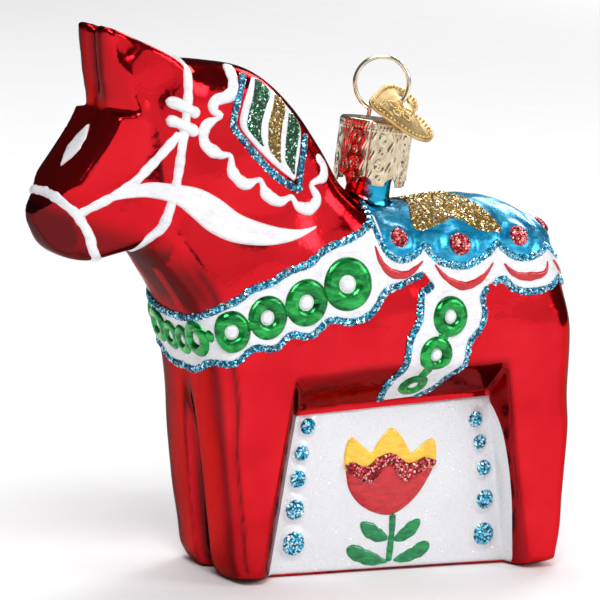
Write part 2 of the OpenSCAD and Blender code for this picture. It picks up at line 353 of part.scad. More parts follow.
// saddle cloth: rows across the back at one x; a scalloped hem at the flank
function over(r) = concat(r,[for(i=[1:len(r)-1]) let(e=r[len(r)-1-i]) [flip(e[0]),flip(e[1])]]);
module saddle_cloth() color([0.12,0.6,0.78]) difference() {
  sheet([for(i=[0:20]) let(a=pick(HEM,i/20), b=pick(SPINE,i/20)) over([for(j=[0:6]) at_surface(a*(1-j/6)+b*j/6)])], enamel_t*0.7);
  neck_frame() cylinder(d=neck_d+1.4, h=8, center=true, $fn=40); }
GOLD_LOW = [[15.2,54,0,37],[16.2,54,0,31],[18.4,54,0,32],[20.4,54,0,35.5],[23.7,54,0,40],[27.3,54,0,29.5],[30.4,54,0,25],[32.6,54,0,28.5]];
module saddle_gold_patch() color(GOLD) sheet([for(i=[0:9]) let(a=pick(GOLD_LOW,i/9), b=[18.6+i,54,0,89.9])
  over([for(j=[0:4]) at_surface(a*(1-j/4)+b*j/4)])], glitter_t);
saddle_at = [[11.7,54,0,23.5,1.65],[23.2,54,0,17.6,1.85],[35.1,54,0,23.5,1.7],[38,54,-45,37,1.6]];
module saddle_dots() color(RED) both() for(s=saddle_at) on(s) dot(s[4],glitter_t*1.4);
module saddle_border() color(WHITE) band([for(i=[2:20]) HEM[i]],full(BORDER_LOW),enamel_t*0.7,30,2,true);
CRESCENTS = [[[6.6,54,0,18],[7.6,55.2,0,0],[9.8,53.2,0,0],[13,53,0,0],[16.2,55.2,0,0]],
  [[18.2,54.6,0,0],[20.6,52.2,0,0],[24,50.9,0,0],[27.4,52.2,0,0],[29.6,55,0,0]],
  [[31.6,54.8,0,0],[33.8,53,0,0],[36.4,52.4,0,0],[38,52.9,-10,0],[38,55,-14.5,0]],
  [[38,54.9,-23,0],[38,53,-36,0],[38,52.2,-53,0],[38,53,-70,0],[38,54.6,-82,0]]];
module saddle_crescents() color(RED) both() for(c=CRESCENTS) let(q=smooth(wide(c,1),2), n=len(q)-1)
  ribbon([for(i=[0:n]) let(s=q[i]) [s[0],s[1],s[2],s[3],0.3+1.4*sin(180*i/n)]], enamel_t*0.8);
module saddle_glitter_edge() color(BLUE) {
  ribbon(wide(HEM,edge_w), glitter_t, true);
  ribbon(wide(full([for(i=[7:18]) BORDER_LOW[i]]),edge_w), glitter_t, true);
  both() ribbon(wide(full([for(i=[0:3]) BORDER_LOW[i]]),edge_w), glitter_t);
}
// web panel: flat layers on the web, both sides
module flat(t) both() multmatrix([[kx,0,0,mid_x*kx],[0,0,1,-web_half-t],[0,kz,0,0],[0,0,0,1]]) linear_extrude(t+bond) children();
module panel_ground() color([0.9,0.92,0.94]) flat(0.15) polygon([[-6.7,0.8],[40.6,0.8],[34.4,30.2],[-3.4,27.8]]);
panel_at = [[-1.3,26.3,1.35],[-2.1,21.7,1.3],[-2.5,17.2,1.5],[-2.7,11.9,1.75],[-2.5,6,2.1],[32.1,26.4,1.35],[33.3,22.3,1.3],[34.6,17.6,1.4],[35.3,12,1.75],[35.6,5.8,2.1]];
module panel_dots() color(BLUE) both() for(p=panel_at) translate(put([p.x,0,p.y])-[0,web_half+0.1,0]) rotate([90,0,0]) dot(p[2],0.7);
module tulip_petals() color([0.95,0.75,0.15]) flat(0.6) polygon([[6.8,18.2],[6.4,21.6],[7,24],[8.2,23.9],[9.8,22.6],[11.6,21.4],[12.4,22.4],[13.6,24.2],[15.3,25.5],[16.9,24.6],[18.4,22.8],
  [19.8,20.9],[20.8,21.6],[22.4,22.9],[24,23.3],[24.7,22],[24.9,20],[24.7,18.2],[20,17.2],[15.5,17.4],[11,17.2]]);
module tulip_cup() color(RED) flat(0.75) polygon([[7,18.6],[7.7,15],[9.7,12.4],[12.6,10.6],[16.2,9.8],[19.4,11.2],[22.2,14],[24.2,17.6],[24.5,18.5],[20,18.7],[15.6,19.6],[11,18.6]]);
module tulip_glitter() color([0.55,0.05,0.08]) flat(0.95) polygon([[6.8,19.2],[8,19.7],[9.8,19],[11.2,18.9],[12.9,20.2],[15.2,21],[17.2,20.2],[18.6,19.2],
  [20.2,19.2],[22.4,20],[24.6,19.3],[24.4,18.6],[21.8,17.6],[20,16.4],[18.4,16],[17,17],[16,18.8],[14.6,18.9],[13,17],[11.8,15.9],[10.4,16.2],[8.6,17.2],[7,18.4]]);
module leaf(a,l) rotate(a) scale([l/2,1]) translate([1,0]) circle(r=1,$fn=28);
module tulip_leaves() color(GREEN) flat(0.6) { translate([16.2,1.4]) square([1.4,9]);
  for(q=[[17,5.5,32,6.6],[16.8,5.7,150,7.2],[17.2,1.9,20,8.2],[17,1.9,163,9]]) translate([q[0],q[1]]) leaf(q[2],q[3]); }

glass_body();
cap();
hanger_wire();
heart_charm();
bridle_straps();
rein();
face_blaze();
mane_scallops();
mane_white_lines();
mane_glitter_border();
mane_green_stripes();
mane_gold_stripe();
collar_band();
collar_rings();
collar_dots();
collar_glitter_edges();
girth_band();
girth_rings();
girth_dots();
girth_glitter_edges();
saddle_cloth();
saddle_gold_patch();
saddle_dots();
saddle_border();
saddle_crescents();
saddle_glitter_edge();
panel_ground();
panel_dots();
tulip_petals();
tulip_cup();
tulip_glitter();
tulip_leaves();
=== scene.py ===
import math

import bmesh
import bpy
import numpy as np
from mathutils import Matrix, Vector


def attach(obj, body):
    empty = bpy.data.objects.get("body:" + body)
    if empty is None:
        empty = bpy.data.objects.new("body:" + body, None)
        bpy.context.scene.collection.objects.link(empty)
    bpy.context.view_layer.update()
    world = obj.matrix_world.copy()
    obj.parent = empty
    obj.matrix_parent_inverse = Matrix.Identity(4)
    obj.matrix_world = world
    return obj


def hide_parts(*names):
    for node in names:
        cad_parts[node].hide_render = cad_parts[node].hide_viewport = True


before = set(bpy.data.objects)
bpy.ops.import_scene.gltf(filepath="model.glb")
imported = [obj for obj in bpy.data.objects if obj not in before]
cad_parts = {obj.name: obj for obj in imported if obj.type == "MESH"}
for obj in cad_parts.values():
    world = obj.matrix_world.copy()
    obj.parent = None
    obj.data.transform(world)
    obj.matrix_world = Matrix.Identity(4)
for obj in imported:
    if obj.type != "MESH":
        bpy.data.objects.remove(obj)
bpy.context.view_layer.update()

MM = 0.001
MID_X = 0.6              # mm, brings the middle of the figure's length onto the origin

# ---------------------------------------------------------------------------
# The glass figure: a side outline with a half width, an edge radius and a
# squareness at stations on the flank. Millimetres, nose toward -X.
# ---------------------------------------------------------------------------
TRUNK = [(-30, 86.6), (-20, 87), (-13, 85.4), (-6, 80.2), (0, 73.2), (4.5, 67), (10, 63.8), (18, 63.6),
         (29, 64.8), (38, 63.6), (45, 59), (49, 50.5), (50.4, 40), (50.4, 20), (49.8, 4), (47, 0), (30, 0),
         (10, 0), (-11, 0), (-15, 1.6), (-16.6, 8), (-19.6, 25), (-21.8, 37), (-25, 46), (-29.5, 52), (-34, 58),
         (-37, 68), (-36, 80)]
HEAD = [(-42.6, 91.8), (-41.2, 92.3), (-38.4, 91.4), (-29, 87.4), (-24.5, 83), (-24.5, 74), (-25.5, 66),
        (-28, 60.8), (-32, 57.2), (-38, 55.4), (-43, 54.2), (-47.4, 55.4), (-50.2, 58.6), (-51.5, 61.8),
        (-49, 65.4), (-44.6, 71.8), (-40.8, 78.4), (-41.9, 85.4)]
# x, z, half width, edge radius, squareness
TRUNK_SIDES = [(-25, 82, 8.5, 6.5, 2.2), (-15, 68, 10, 8, 2.2), (-3, 72, 8.5, 7, 2.2), (-12, 50, 12.5, 7, 2.5),
               (-18, 38, 13.2, 4.6, 3), (-12, 18, 12.8, 3.6, 3.6), (-10, 3, 12.2, 3.2, 3),
               (14, 42, 14.2, 9, 2.2), (14, 58, 12.5, 11, 2.1), (30, 60, 13.2, 11, 2.1),
               (43, 55, 13.2, 10, 2.2), (43, 38, 14, 7.5, 2.4), (46, 18, 13.2, 4.5, 2.8),
               (46, 3, 12.8, 3.2, 2.8)]
HEAD_SIDES = [(-48, 61, 7, 4, 2.6), (-44, 68, 8.2, 2.2, 6), (-33, 64, 8.8, 4.2, 2.8), (-38, 77, 8.5, 1.9, 7),
              (-35, 84, 7.6, 1.8, 6), (-42, 91, 6, 1.5, 5), (-27, 80, 8.4, 4, 2.4)]
WEB_HALF = 7.0           # half thickness of the web between the legs
FOOT_SLOT_DEPTH, FOOT_SLOT_WIDTH = 5, 1.5
EAR_FURROW_DEPTH, EAR_FURROW_WIDTH = 0.9, 1.4
# plane of the bevel from ear tip to brow: x, |y| and z parts of its direction, and its distance
BEVEL_X, BEVEL_Y, BEVEL_Z, BEVEL_AT = 0.722, 0.675, 0.152, 19.95
HEAD_BLEND, NECK_BLEND = 1.2, 1.6
# hollow beside the web: front, rear and top edge on the web and on the flank, as z -> x or x -> z
HOLLOW_FRONT = ((-7, -6), (-3.2, 28.8)), ((-12.4, -6), (-7.4, 36.8))
HOLLOW_REAR = ((42, -6), (34.7, 31.3)), ((43.8, -6), (33.8, 38))
HOLLOW_TOP = ((-3.2, 28.8), (34.7, 31.3)), ((-7.4, 36.8), (33.8, 38))
PROBE = 0.15             # mm, step for the slope of the depth
REACH = 26.0             # mm, farther from the middle than the glass is anywhere
SINK = 0.15              # mm, how far paint reaches into the glass
NECK_FOOT = np.array([11.4, 0.0, 63.6])
NECK_LEAN = math.radians(4)
NECK_R, NECK_BORE_R = 3.8, 2.5
CAP_GAP, HEM_H, CAP_H, CAP_T, CAP_W = 3.2, 1.4, 9.6, 0.4, 12.2
CAP_TOP = CAP_GAP + HEM_H + CAP_H - CAP_T      # underside of the cap top, along the neck
NECK_H = CAP_TOP - 0.15
CAP_TURN = math.radians(-16)
RELIEF, SHOULDER_R = 0.13, 0.5      # mm, height of the stamped relief and radius of the cap's shoulder
FACE_HALF = 22.5         # degrees, half of one of the cap's eight faces
LOOP_TURN, WIRE_R, LOOP_R = math.radians(-27), 0.4, 4.6
LOOP_Z = CAP_TOP + CAP_T + LOOP_R + WIRE_R + 1.0
LEG_X, WIRE_LEG = 1.5, 8.0
CHARM_AT, CHARM_TILT, CHARM_SPIN = math.radians(30), math.radians(27), math.radians(-47.5)
CHARM_T, CHARM_SCALE = 0.5, 13.2 / 12.8


def smooth_path(points, steps, closed=False):
    """Smooth curve through the points, steps samples to a stretch."""
    p = np.array(points, float)
    n = len(p)
    t = np.arange(steps) / steps
    out = []
    for i in range(n if closed else n - 1):
        if closed:
            a, b, c, d = p[i - 1], p[i], p[(i + 1) % n], p[(i + 2) % n]
        else:
            a, b, c, d = p[max(0, i - 1)], p[i], p[i + 1], p[min(n - 1, i + 2)]
        u = t[:, None]
        out.append(0.5 * (2 * b + (c - a) * u + (2 * a - 5 * b + 4 * c - d) * u**2
                          + (3 * b - a - 3 * c + d) * u**3))
    if not closed:
        out.append(p[-1:])
    return np.concatenate(out)


def inset(outline, x, z):
    """Distance to a closed outline, positive inside."""
    best = np.full(x.shape, 1e9)
    inside = np.zeros(x.shape, bool)
    for (ax, az), (bx, bz) in zip(outline, np.roll(outline, -1, 0)):
        ex, ez, px, pz = bx - ax, bz - az, x - ax, z - az
        t = np.clip((px * ex + pz * ez) / (ex * ex + ez * ez), 0, 1)
        best = np.minimum(best, (px - t * ex)**2 + (pz - t * ez)**2)
        if az != bz:
            inside ^= ((az <= z) != (bz <= z)) & (x < ax + pz * ex / ez)
    return np.where(inside, 1, -1) * np.sqrt(best)


def blend(stations, x, z):
    """The stations' values, each weighed by how near it is."""
    w = [((x - s[0])**2 + (z - s[1])**2 + 4)**-2.0 for s in stations]
    total = sum(w)
    return [sum(wi * s[k] for wi, s in zip(w, stations)) / total for k in (2, 3, 4)]


def side_fields():
    """Inset, half width, edge radius and squareness of trunk and head, at every point of the side view's grid."""
    x, z = np.meshgrid(GX, GZ, indexing="ij")
    return np.stack([inset(smooth_path(TRUNK, 8, True), x, z), *blend(TRUNK_SIDES, x, z),
                     inset(smooth_path(HEAD, 8, True), x, z), *blend(HEAD_SIDES, x, z)], -1)


GRID = 0.3               # mm
GX, GZ = np.arange(-56, 56, GRID), np.arange(-4, 98, GRID)
FIELDS = side_fields()


def look_up(x, z):
    """The side fields between the grid's points."""
    u, v = (x - GX[0]) / GRID, (z - GZ[0]) / GRID
    i = np.clip(np.floor(u).astype(int), 0, len(GX) - 2)
    k = np.clip(np.floor(v).astype(int), 0, len(GZ) - 2)
    fu, fv = np.clip(u - i, 0, 1)[..., None], np.clip(v - k, 0, 1)[..., None]
    return ((FIELDS[i, k] * (1 - fu) + FIELDS[i + 1, k] * fu) * (1 - fv)
            + (FIELDS[i, k + 1] * (1 - fu) + FIELDS[i + 1, k + 1] * fu) * fv)


def level(y, d, half, radius, square):
    """Depth in a body of this half width, whose edge is rounded by radius and squareness."""
    u = np.maximum(0, 1 - d / radius)
    q = ((np.abs(y) / half)**square + u**square)**(1 / square)
    return (1 - q) * np.minimum(half, radius)


def soft_max(a, b, k):
    h = np.clip(0.5 + 0.5 * (a - b) / k, 0, 1)
    return b * (1 - h) + a * h + k * h * (1 - h)


def soft_min(a, b, k):
    return -soft_max(-a, -b, k)


def step(a, b, v):
    """0 below a, 1 above b, smooth between."""
    t = np.clip((v - a) / (b - a), 0, 1)
    return t * t * (3 - 2 * t)


def ridge(d, w):
    """1 on a line and near 0 beyond about twice w from it."""
    return np.exp(-(d / w)**2)


def line_at(line, v, along):
    """Where a line through two points is, at v along its other axis."""
    (ax, az), (bx, bz) = line
    return ax + (v - az) * (bx - ax) / (bz - az) if along == "z" else az + (v - ax) * (bz - az) / (bx - ax)


def hollow(x, y, z):
    """How deep a point lies in the hollow beside the web."""
    t = (np.abs(y) - WEB_HALF) / 7
    walls = []
    for pair, along, v, w, s in ((HOLLOW_FRONT, "z", z, x, 1), (HOLLOW_REAR, "z", z, x, -1),
                                 (HOLLOW_TOP, "x", x, z, -1)):
        inner, outer = line_at(pair[0], v, along), line_at(pair[1], v, along)
        walls.append(s * (w - (inner * (1 - t) + outer * t)))
    side = soft_min(soft_min(walls[0] * 0.87, walls[1] * 0.97, 0.8), walls[2] * 0.66, 0.8)
    return soft_min(side, np.abs(y) - WEB_HALF, 0.5)


def along_neck(p):
    """Height along the neck and distance from its middle line."""
    q = p - NECK_FOOT
    h = q[:, 0] * math.sin(NECK_LEAN) + q[:, 2] * math.cos(NECK_LEAN)
    r = np.sqrt(np.maximum(0, (q * q).sum(1) - h * h))
    return h, r


def depth(p, neck=True):
    """How deep points lie inside the glass, in about millimetres."""
    x, y, z = p.T
    f = look_up(x, z)
    feet = 1 - step(4, 37, z)
    place = np.where(x < 15, 1 - step(-11, -6, x), 0.6 * step(38, 44, x))
    d = f[:, 0] - FOOT_SLOT_DEPTH * ridge(y, FOOT_SLOT_WIDTH) * feet * place
    ears = step(79, 84, z) * (1 - step(-39, -35, x))
    e = f[:, 4] - EAR_FURROW_DEPTH * ridge(y, EAR_FURROW_WIDTH) * ears
    trunk = level(y, d, f[:, 1], f[:, 2], f[:, 3])
    head = level(y, e, f[:, 5], f[:, 6], f[:, 7])
    bevel = BEVEL_X * x + BEVEL_Z * z + BEVEL_AT - BEVEL_Y * np.abs(y)
    head = np.where(x < -30, soft_min(head, bevel + 9 * (1 - step(77, 79, z)), 0.25), head)
    body = soft_max(trunk, head, HEAD_BLEND)
    body = soft_min(body, -hollow(x, y, z), 0.9)
    if neck:
        h, r = along_neck(p)
        tube = np.minimum(NECK_R - r, soft_min(NECK_H - h, h + 4, 0.3))
        body = soft_max(body, tube, NECK_BLEND)
        body = soft_min(body, np.maximum(r - NECK_BORE_R, -(h - 4)), 0.3)
    return body


def slope(p, neck=True):
    """Depth at points and the way in which it grows."""
    f = depth(p, neck)
    return f, np.stack([depth(p + PROBE * a, neck) - f for a in np.eye(3)], 1) / PROBE


def settle(p, steps=2, neck=True):
    """Moves points onto the glass surface."""
    for _ in range(steps):
        f, g = slope(p, neck)
        s = f / np.maximum(0.2, (g * g).sum(1))
        p = p - g * np.clip(s, -0.6, 0.6)[:, None]
    return p


def outward(p, neck=False):
    g = -slope(p, neck)[1]
    return g / np.linalg.norm(g, axis=1)[:, None]


def skin_of_cells(h):
    """Closed quad net around the glass, one point to a cell that the surface crosses."""
    xs, zs = np.arange(-53.4, 52.6, h), np.arange(-1.1, 95, h)
    ys = (np.arange(2 * int(15.4 / h) + 2) - int(15.4 / h) - 0.5) * h
    values = np.empty((len(xs), len(ys), len(zs)))
    gx, gz = np.meshgrid(xs, zs, indexing="ij")
    for j, y in enumerate(ys):
        values[:, j, :] = depth(np.stack([gx.ravel(), np.full(gx.size, y), gz.ravel()], 1)).reshape(gx.shape)
    inside = values > 0

    def corner(a, c):
        return a[c[0]:a.shape[0] - 1 + c[0], c[1]:a.shape[1] - 1 + c[1], c[2]:a.shape[2] - 1 + c[2]]
    corners = [(i, j, k) for i in (0, 1) for j in (0, 1) for k in (0, 1)]
    count = sum(corner(inside, c).astype(int) for c in corners)
    active = (count > 0) & (count < 8)
    at = np.argwhere(active)
    number = -np.ones(active.shape, int)
    number[active] = np.arange(len(at))
    total, hits = np.zeros((len(at), 3)), np.zeros(len(at))
    for c in corners:
        for axis in range(3):
            if c[axis] == 0:
                other = list(c)
                other[axis] = 1
                va, vb = corner(values, c)[active], corner(values, other)[active]
                cross = (va > 0) != (vb > 0)
                t = np.where(cross, va / np.where(cross, va - vb, 1), 0)
                point = np.tile(np.array(c, float), (len(at), 1))
                point[:, axis] = t
                total += np.where(cross[:, None], point, 0)
                hits += cross
    verts = np.array([xs[0], ys[0], zs[0]]) + (at + total / hits[:, None]) * h
    quads = []
    for axis in range(3):
        lo, hi = [slice(1, -1)] * 3, [slice(1, -1)] * 3
        lo[axis], hi[axis] = slice(0, -1), slice(1, None)
        a, b = inside[tuple(lo)], inside[tuple(hi)]
        node = np.argwhere(a != b)
        leaving = a[tuple(node.T)]
        node = node + np.array([0 if q == axis else 1 for q in range(3)])
        u, v = [q for q in range(3) if q != axis]

        def cell(du, dv):
            n = node.copy()
            n[:, u] -= du
            n[:, v] -= dv
            return number[tuple(n.T)]
        quad = np.stack([cell(1, 1), cell(0, 1), cell(0, 0), cell(1, 0)], 1)
        turn = leaving if axis != 1 else ~leaving
        quad[~turn] = quad[~turn][:, ::-1]
        quads.append(quad)
    return verts, np.concatenate(quads)


# ---------------------------------------------------------------------------
# Meshes
# ---------------------------------------------------------------------------
def to_scene(p):
    return (np.asarray(p, float) + [MID_X, 0, 0]) * MM


def mesh_of(name, verts, faces, scale=True):
    mesh = bpy.data.meshes.new(name)
    mesh.from_pydata((to_scene(verts) if scale else np.asarray(verts)).tolist(), [],
                     [list(map(int, f)) for f in faces])
    mesh.update()
    return mesh


def grid_faces(rows, cols, around=False):
    """Quads of a grid of points; around closes each row on itself."""
    i, j = np.meshgrid(np.arange(rows - 1), np.arange(cols if around else cols - 1), indexing="ij")
    i, j = i.ravel(), j.ravel()
    k = (j + 1) % cols
    return np.stack([i * cols + j, i * cols + k, (i + 1) * cols + k, (i + 1) * cols + j], 1)


def turned_out(verts, faces):
    """Faces turned so that a closed part has a positive volume."""
    volume = 0.0
    for f in faces:
        a = verts[f[0]]
        for m in range(1, len(f) - 1):
            volume += float(np.dot(a, np.cross(verts[f[m]], verts[f[m + 1]])))
    return faces if volume > 0 else [list(f)[::-1] for f in faces]


def mirrored(parts):
    """The parts and their copies on the other flank."""
    out = list(parts)
    for verts, faces in parts:
        out.append((verts * [1, -1, 1], [list(f)[::-1] for f in faces]))
    return out


def joined(parts):
    verts, faces, base = [], [], 0
    for v, f in parts:
        verts.append(v)
        faces += [[int(i) + base for i in face] for face in f]
        base += len(v)
    return np.concatenate(verts), faces


def add_piece(name, mesh, body, node, material):
    """A finished piece: on its body, standing for its CAD node, with its material slot."""
    piece = bpy.data.objects.new(name, mesh)
    bpy.context.scene.collection.objects.link(piece)
    mesh.materials.append(material)
    mesh.polygons.foreach_set("use_smooth", [True] * len(mesh.polygons))
    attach(piece, body)
    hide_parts(node)


# ---------------------------------------------------------------------------
# Paths on the glass. A station is x, z, turn toward the nose, tilt up: a ray
# from the middle of the figure that meets the surface.
# ---------------------------------------------------------------------------
def stations(points):
    out = np.zeros((len(points), 4))
    for row, point in zip(out, points):
        row[:len(point)] = point
    return out


def rays(s):
    turn, tilt = np.radians(s[:, 2]), np.radians(s[:, 3])
    origin = np.stack([s[:, 0], np.zeros(len(s)), s[:, 1]], 1)
    return origin, np.stack([-np.sin(turn) * np.cos(tilt), -np.cos(turn) * np.cos(tilt), np.sin(tilt)], 1)


def cast(s):
    """Where the stations' rays meet the glass."""
    origin, way = rays(s)
    near, end = np.zeros(len(s)), np.full(len(s), REACH)
    for _ in range(18):
        mid = (near + end) / 2
        inside = depth(origin + way * mid[:, None], False) > 0
        near, end = np.where(inside, mid, near), np.where(inside, end, mid)
    return origin + way * near[:, None]


def spaced(path, gap, closed=False):
    """Stations resampled so that neighbours lie gap apart on the glass."""
    dense = smooth_path(path, 12, closed)
    p = cast(dense)
    length = np.concatenate([[0], np.cumsum(np.linalg.norm(np.diff(p, axis=0), axis=1))])
    count = max(4, int(round(length[-1] / gap)) + 1)
    t = np.linspace(0, length[-1], count)
    return np.stack([np.interp(t, length, dense[:, k]) for k in range(4)], 1), t


def section_faces(rings, size):
    faces = [list(f) for f in grid_faces(rings, size, True)]
    return faces + [list(range(size))[::-1], [(rings - 1) * size + k for k in range(size)]]


def bead(path, width, height, across=7, gap=0.4, over=False, seed=0):
    """A laid line of paint: a raised rounded ribbon along a path. width may be a function of 0..1."""
    s, t = spaced(stations(path), gap)
    centre = cast(s)
    if over:                                  # carried over the middle to the other flank
        centre = np.concatenate([centre, centre[-2::-1] * [1, -1, 1]])
        t = np.concatenate([t, 2 * t[-1] - t[-2::-1]])
    n = len(centre)
    normal = outward(centre)
    way = np.gradient(centre, axis=0)
    side = np.cross(normal, way)
    side /= np.linalg.norm(side, axis=1)[:, None]
    u = t / t[-1]
    w = width(u) if callable(width) else np.full(n, float(width))
    wave = 1 + 0.07 * np.sin(t * 1.3 + seed) + 0.05 * np.sin(t * 3.1 + 2 * seed)
    end = np.minimum(t, t[-1] - t) / np.maximum(0.2, w / 2)
    close = np.sqrt(np.clip(1 - (1 - np.minimum(1, end))**2, 0.003, 1))
    w = w * wave * close
    v = np.linspace(-1, 1, across)
    rows = centre[:, None] + side[:, None] * (w[:, None] / 2 * v)[..., None]
    flat = settle(rows.reshape(-1, 3), 3, False)
    up = outward(flat).reshape(n, across, 3)
    rows = flat.reshape(n, across, 3)
    rise = height * (1 - np.abs(v)**2.2)**0.5 * (close * (1 + 0.12 * np.sin(t * 0.9 + seed)))[:, None] + 0.015
    top = rows + up * rise[..., None]
    ring = np.concatenate([top, (rows - up * SINK)[:, ::-1][:, [0, across - 1]]], 1)
    verts = ring.reshape(-1, 3)
    faces = section_faces(n, across + 2)
    return verts, turned_out(verts, faces), (top.reshape(-1, 3), grid_faces(n, across))


def resampled(path, count):
    """A smooth path of stations at count even steps along the glass."""
    dense = smooth_path(stations(path), 12)
    p = cast(dense)
    length = np.concatenate([[0], np.cumsum(np.linalg.norm(np.diff(p, axis=0), axis=1))])
    t = np.linspace(0, length[-1], count)
    return np.stack([np.interp(t, length, dense[:, k]) for k in range(4)], 1), length[-1]


def patch(grid, height, over=None, round_to=0.35, relief=None):
    """A filled area of paint over a grid of stations, closed underneath.
    over="along" carries the rows on past the middle, over="across" the columns."""
    n, m = grid.shape[:2]
    rows = cast(grid.reshape(-1, 4)).reshape(n, m, 3)
    if over == "across":
        rows = np.concatenate([rows, rows[:, -2::-1] * [1, -1, 1]], 1)
    if over == "along":
        rows = np.concatenate([rows, rows[-2::-1] * [1, -1, 1]], 0)
    n, m = rows.shape[:2]
    up = outward(rows.reshape(-1, 3)).reshape(n, m, 3)
    edge = np.minimum(
        np.minimum(np.linalg.norm(rows - rows[:, :1], axis=2), np.linalg.norm(rows - rows[:, -1:], axis=2)),
        np.minimum(np.linalg.norm(rows - rows[:1], axis=2), np.linalg.norm(rows - rows[-1:], axis=2)))
    rise = height * np.sqrt(np.clip(1 - (1 - np.minimum(1, edge / round_to))**2, 0, 1))
    if relief:
        rise = rise + relief(rows[..., 0], rows[..., 1], rows[..., 2]) * np.clip(edge / round_to, 0, 1)
    top = rows + up * (rise + 0.012)[..., None]
    verts = np.concatenate([top.reshape(-1, 3), (rows - up * SINK).reshape(-1, 3)])
    faces = [list(f) for f in grid_faces(n, m)]
    faces += [[i + n * m for i in f][::-1] for f in faces]
    rim = list(range(m)) + [i * m + m - 1 for i in range(1, n)] + \
        [(n - 1) * m + j for j in range(m - 2, -1, -1)] + [i * m for i in range(n - 2, 0, -1)]
    for p, q in zip(rim, rim[1:] + rim[:1]):
        faces.append([q, p, p + n * m, q + n * m])
    return verts, turned_out(verts, faces), (top.reshape(-1, 3), grid_faces(n, m))


def field(edge_a, edge_b, height, gap=0.5, **how):
    """A filled area of paint between two edges."""
    count = max(4, int(max(resampled(edge_a, 9)[1], resampled(edge_b, 9)[1]) / gap))
    a, b = resampled(edge_a, count)[0], resampled(edge_b, count)[0]
    m = max(4, int(np.linalg.norm(cast(a) - cast(b), axis=1).max() / gap))
    v = np.linspace(0, 1, m + 1)[:, None]
    return patch(a[:, None] * (1 - v) + b[:, None] * v, height, **how)


def plain(parts):
    """Parts without their top faces, for paint that gets no flakes."""
    return [(v, f) for v, f, _ in parts]


def on_glass(station):
    """A point on the glass and its outward direction."""
    p = cast(stations([station]))
    return p[0], outward(p)[0]


def turned(profile, at, way, sides):
    """A turned shape, profile of radius and height, standing on the glass."""
    z = way / np.linalg.norm(way)
    x = np.cross([0, 1, 0] if abs(z[1]) < 0.9 else [0, 0, 1], z)
    x /= np.linalg.norm(x)
    y = np.cross(z, x)
    angle = np.arange(sides) * 2 * np.pi / sides
    verts = np.concatenate([at + r * (np.cos(angle)[:, None] * x + np.sin(angle)[:, None] * y) + h * z
                            for r, h in profile])
    faces = [list(f) for f in grid_faces(len(profile), sides, True)]
    faces += [list(range(sides))[::-1], [(len(profile) - 1) * sides + k for k in range(sides)]]
    return verts, turned_out(verts, faces)


def laid(profile, station, sides, closed=False):
    """A round shape, profile of radius and height, that follows the glass under it."""
    at, way = on_glass(station)
    x = np.cross([0, 1, 0] if abs(way[1]) < 0.9 else [0, 0, 1], way)
    x /= np.linalg.norm(x)
    y = np.cross(way, x)
    angle = np.arange(sides) * 2 * np.pi / sides
    u, v = np.cos(angle), np.sin(angle)
    rings = []
    for r, h in profile:
        foot = settle(at + r * (u[:, None] * x + v[:, None] * y), 3, False)
        rings.append(foot + outward(foot) * h)
    verts = np.concatenate(rings)
    n = len(profile)
    faces = [list(f) for f in grid_faces(n, sides, True)]
    if closed:
        faces += [[(n - 1) * sides + j, (n - 1) * sides + (j + 1) % sides, (j + 1) % sides, j] for j in range(sides)]
        return verts, turned_out(verts, faces)
    verts = np.concatenate([verts, verts[:sides].mean(0)[None], verts[-sides:].mean(0)[None]])
    faces += [[(j + 1) % sides, j, n * sides] for j in range(sides)]
    faces += [[(n - 1) * sides + j, (n - 1) * sides + (j + 1) % sides, n * sides + 1] for j in range(sides)]
    top = (verts, [list(f) for f in faces if min(f) >= sides or n * sides + 1 in f])
    return verts, turned_out(verts, faces), top


def pad(r, h):
    """Profile of a domed dot of paint or glue."""
    return [(r, -0.15), (r, 0.02), (r * 0.94, h * 0.5), (r * 0.75, h * 0.85), (r * 0.45, h), (r * 0.15, h * 1.02)]


def ring_profile(r, h):
    """Profile of a raised lacquered ring with a deep round dimple."""
    return [(r * 0.30, -0.15), (r * 0.31, 0.1), (r * 0.37, h * 0.5), (r * 0.46, h * 0.85), (r * 0.60, h),
            (r * 0.76, h * 0.93), (r * 0.89, h * 0.68), (r * 0.97, h * 0.34), (r, 0.03), (r, -0.15)]


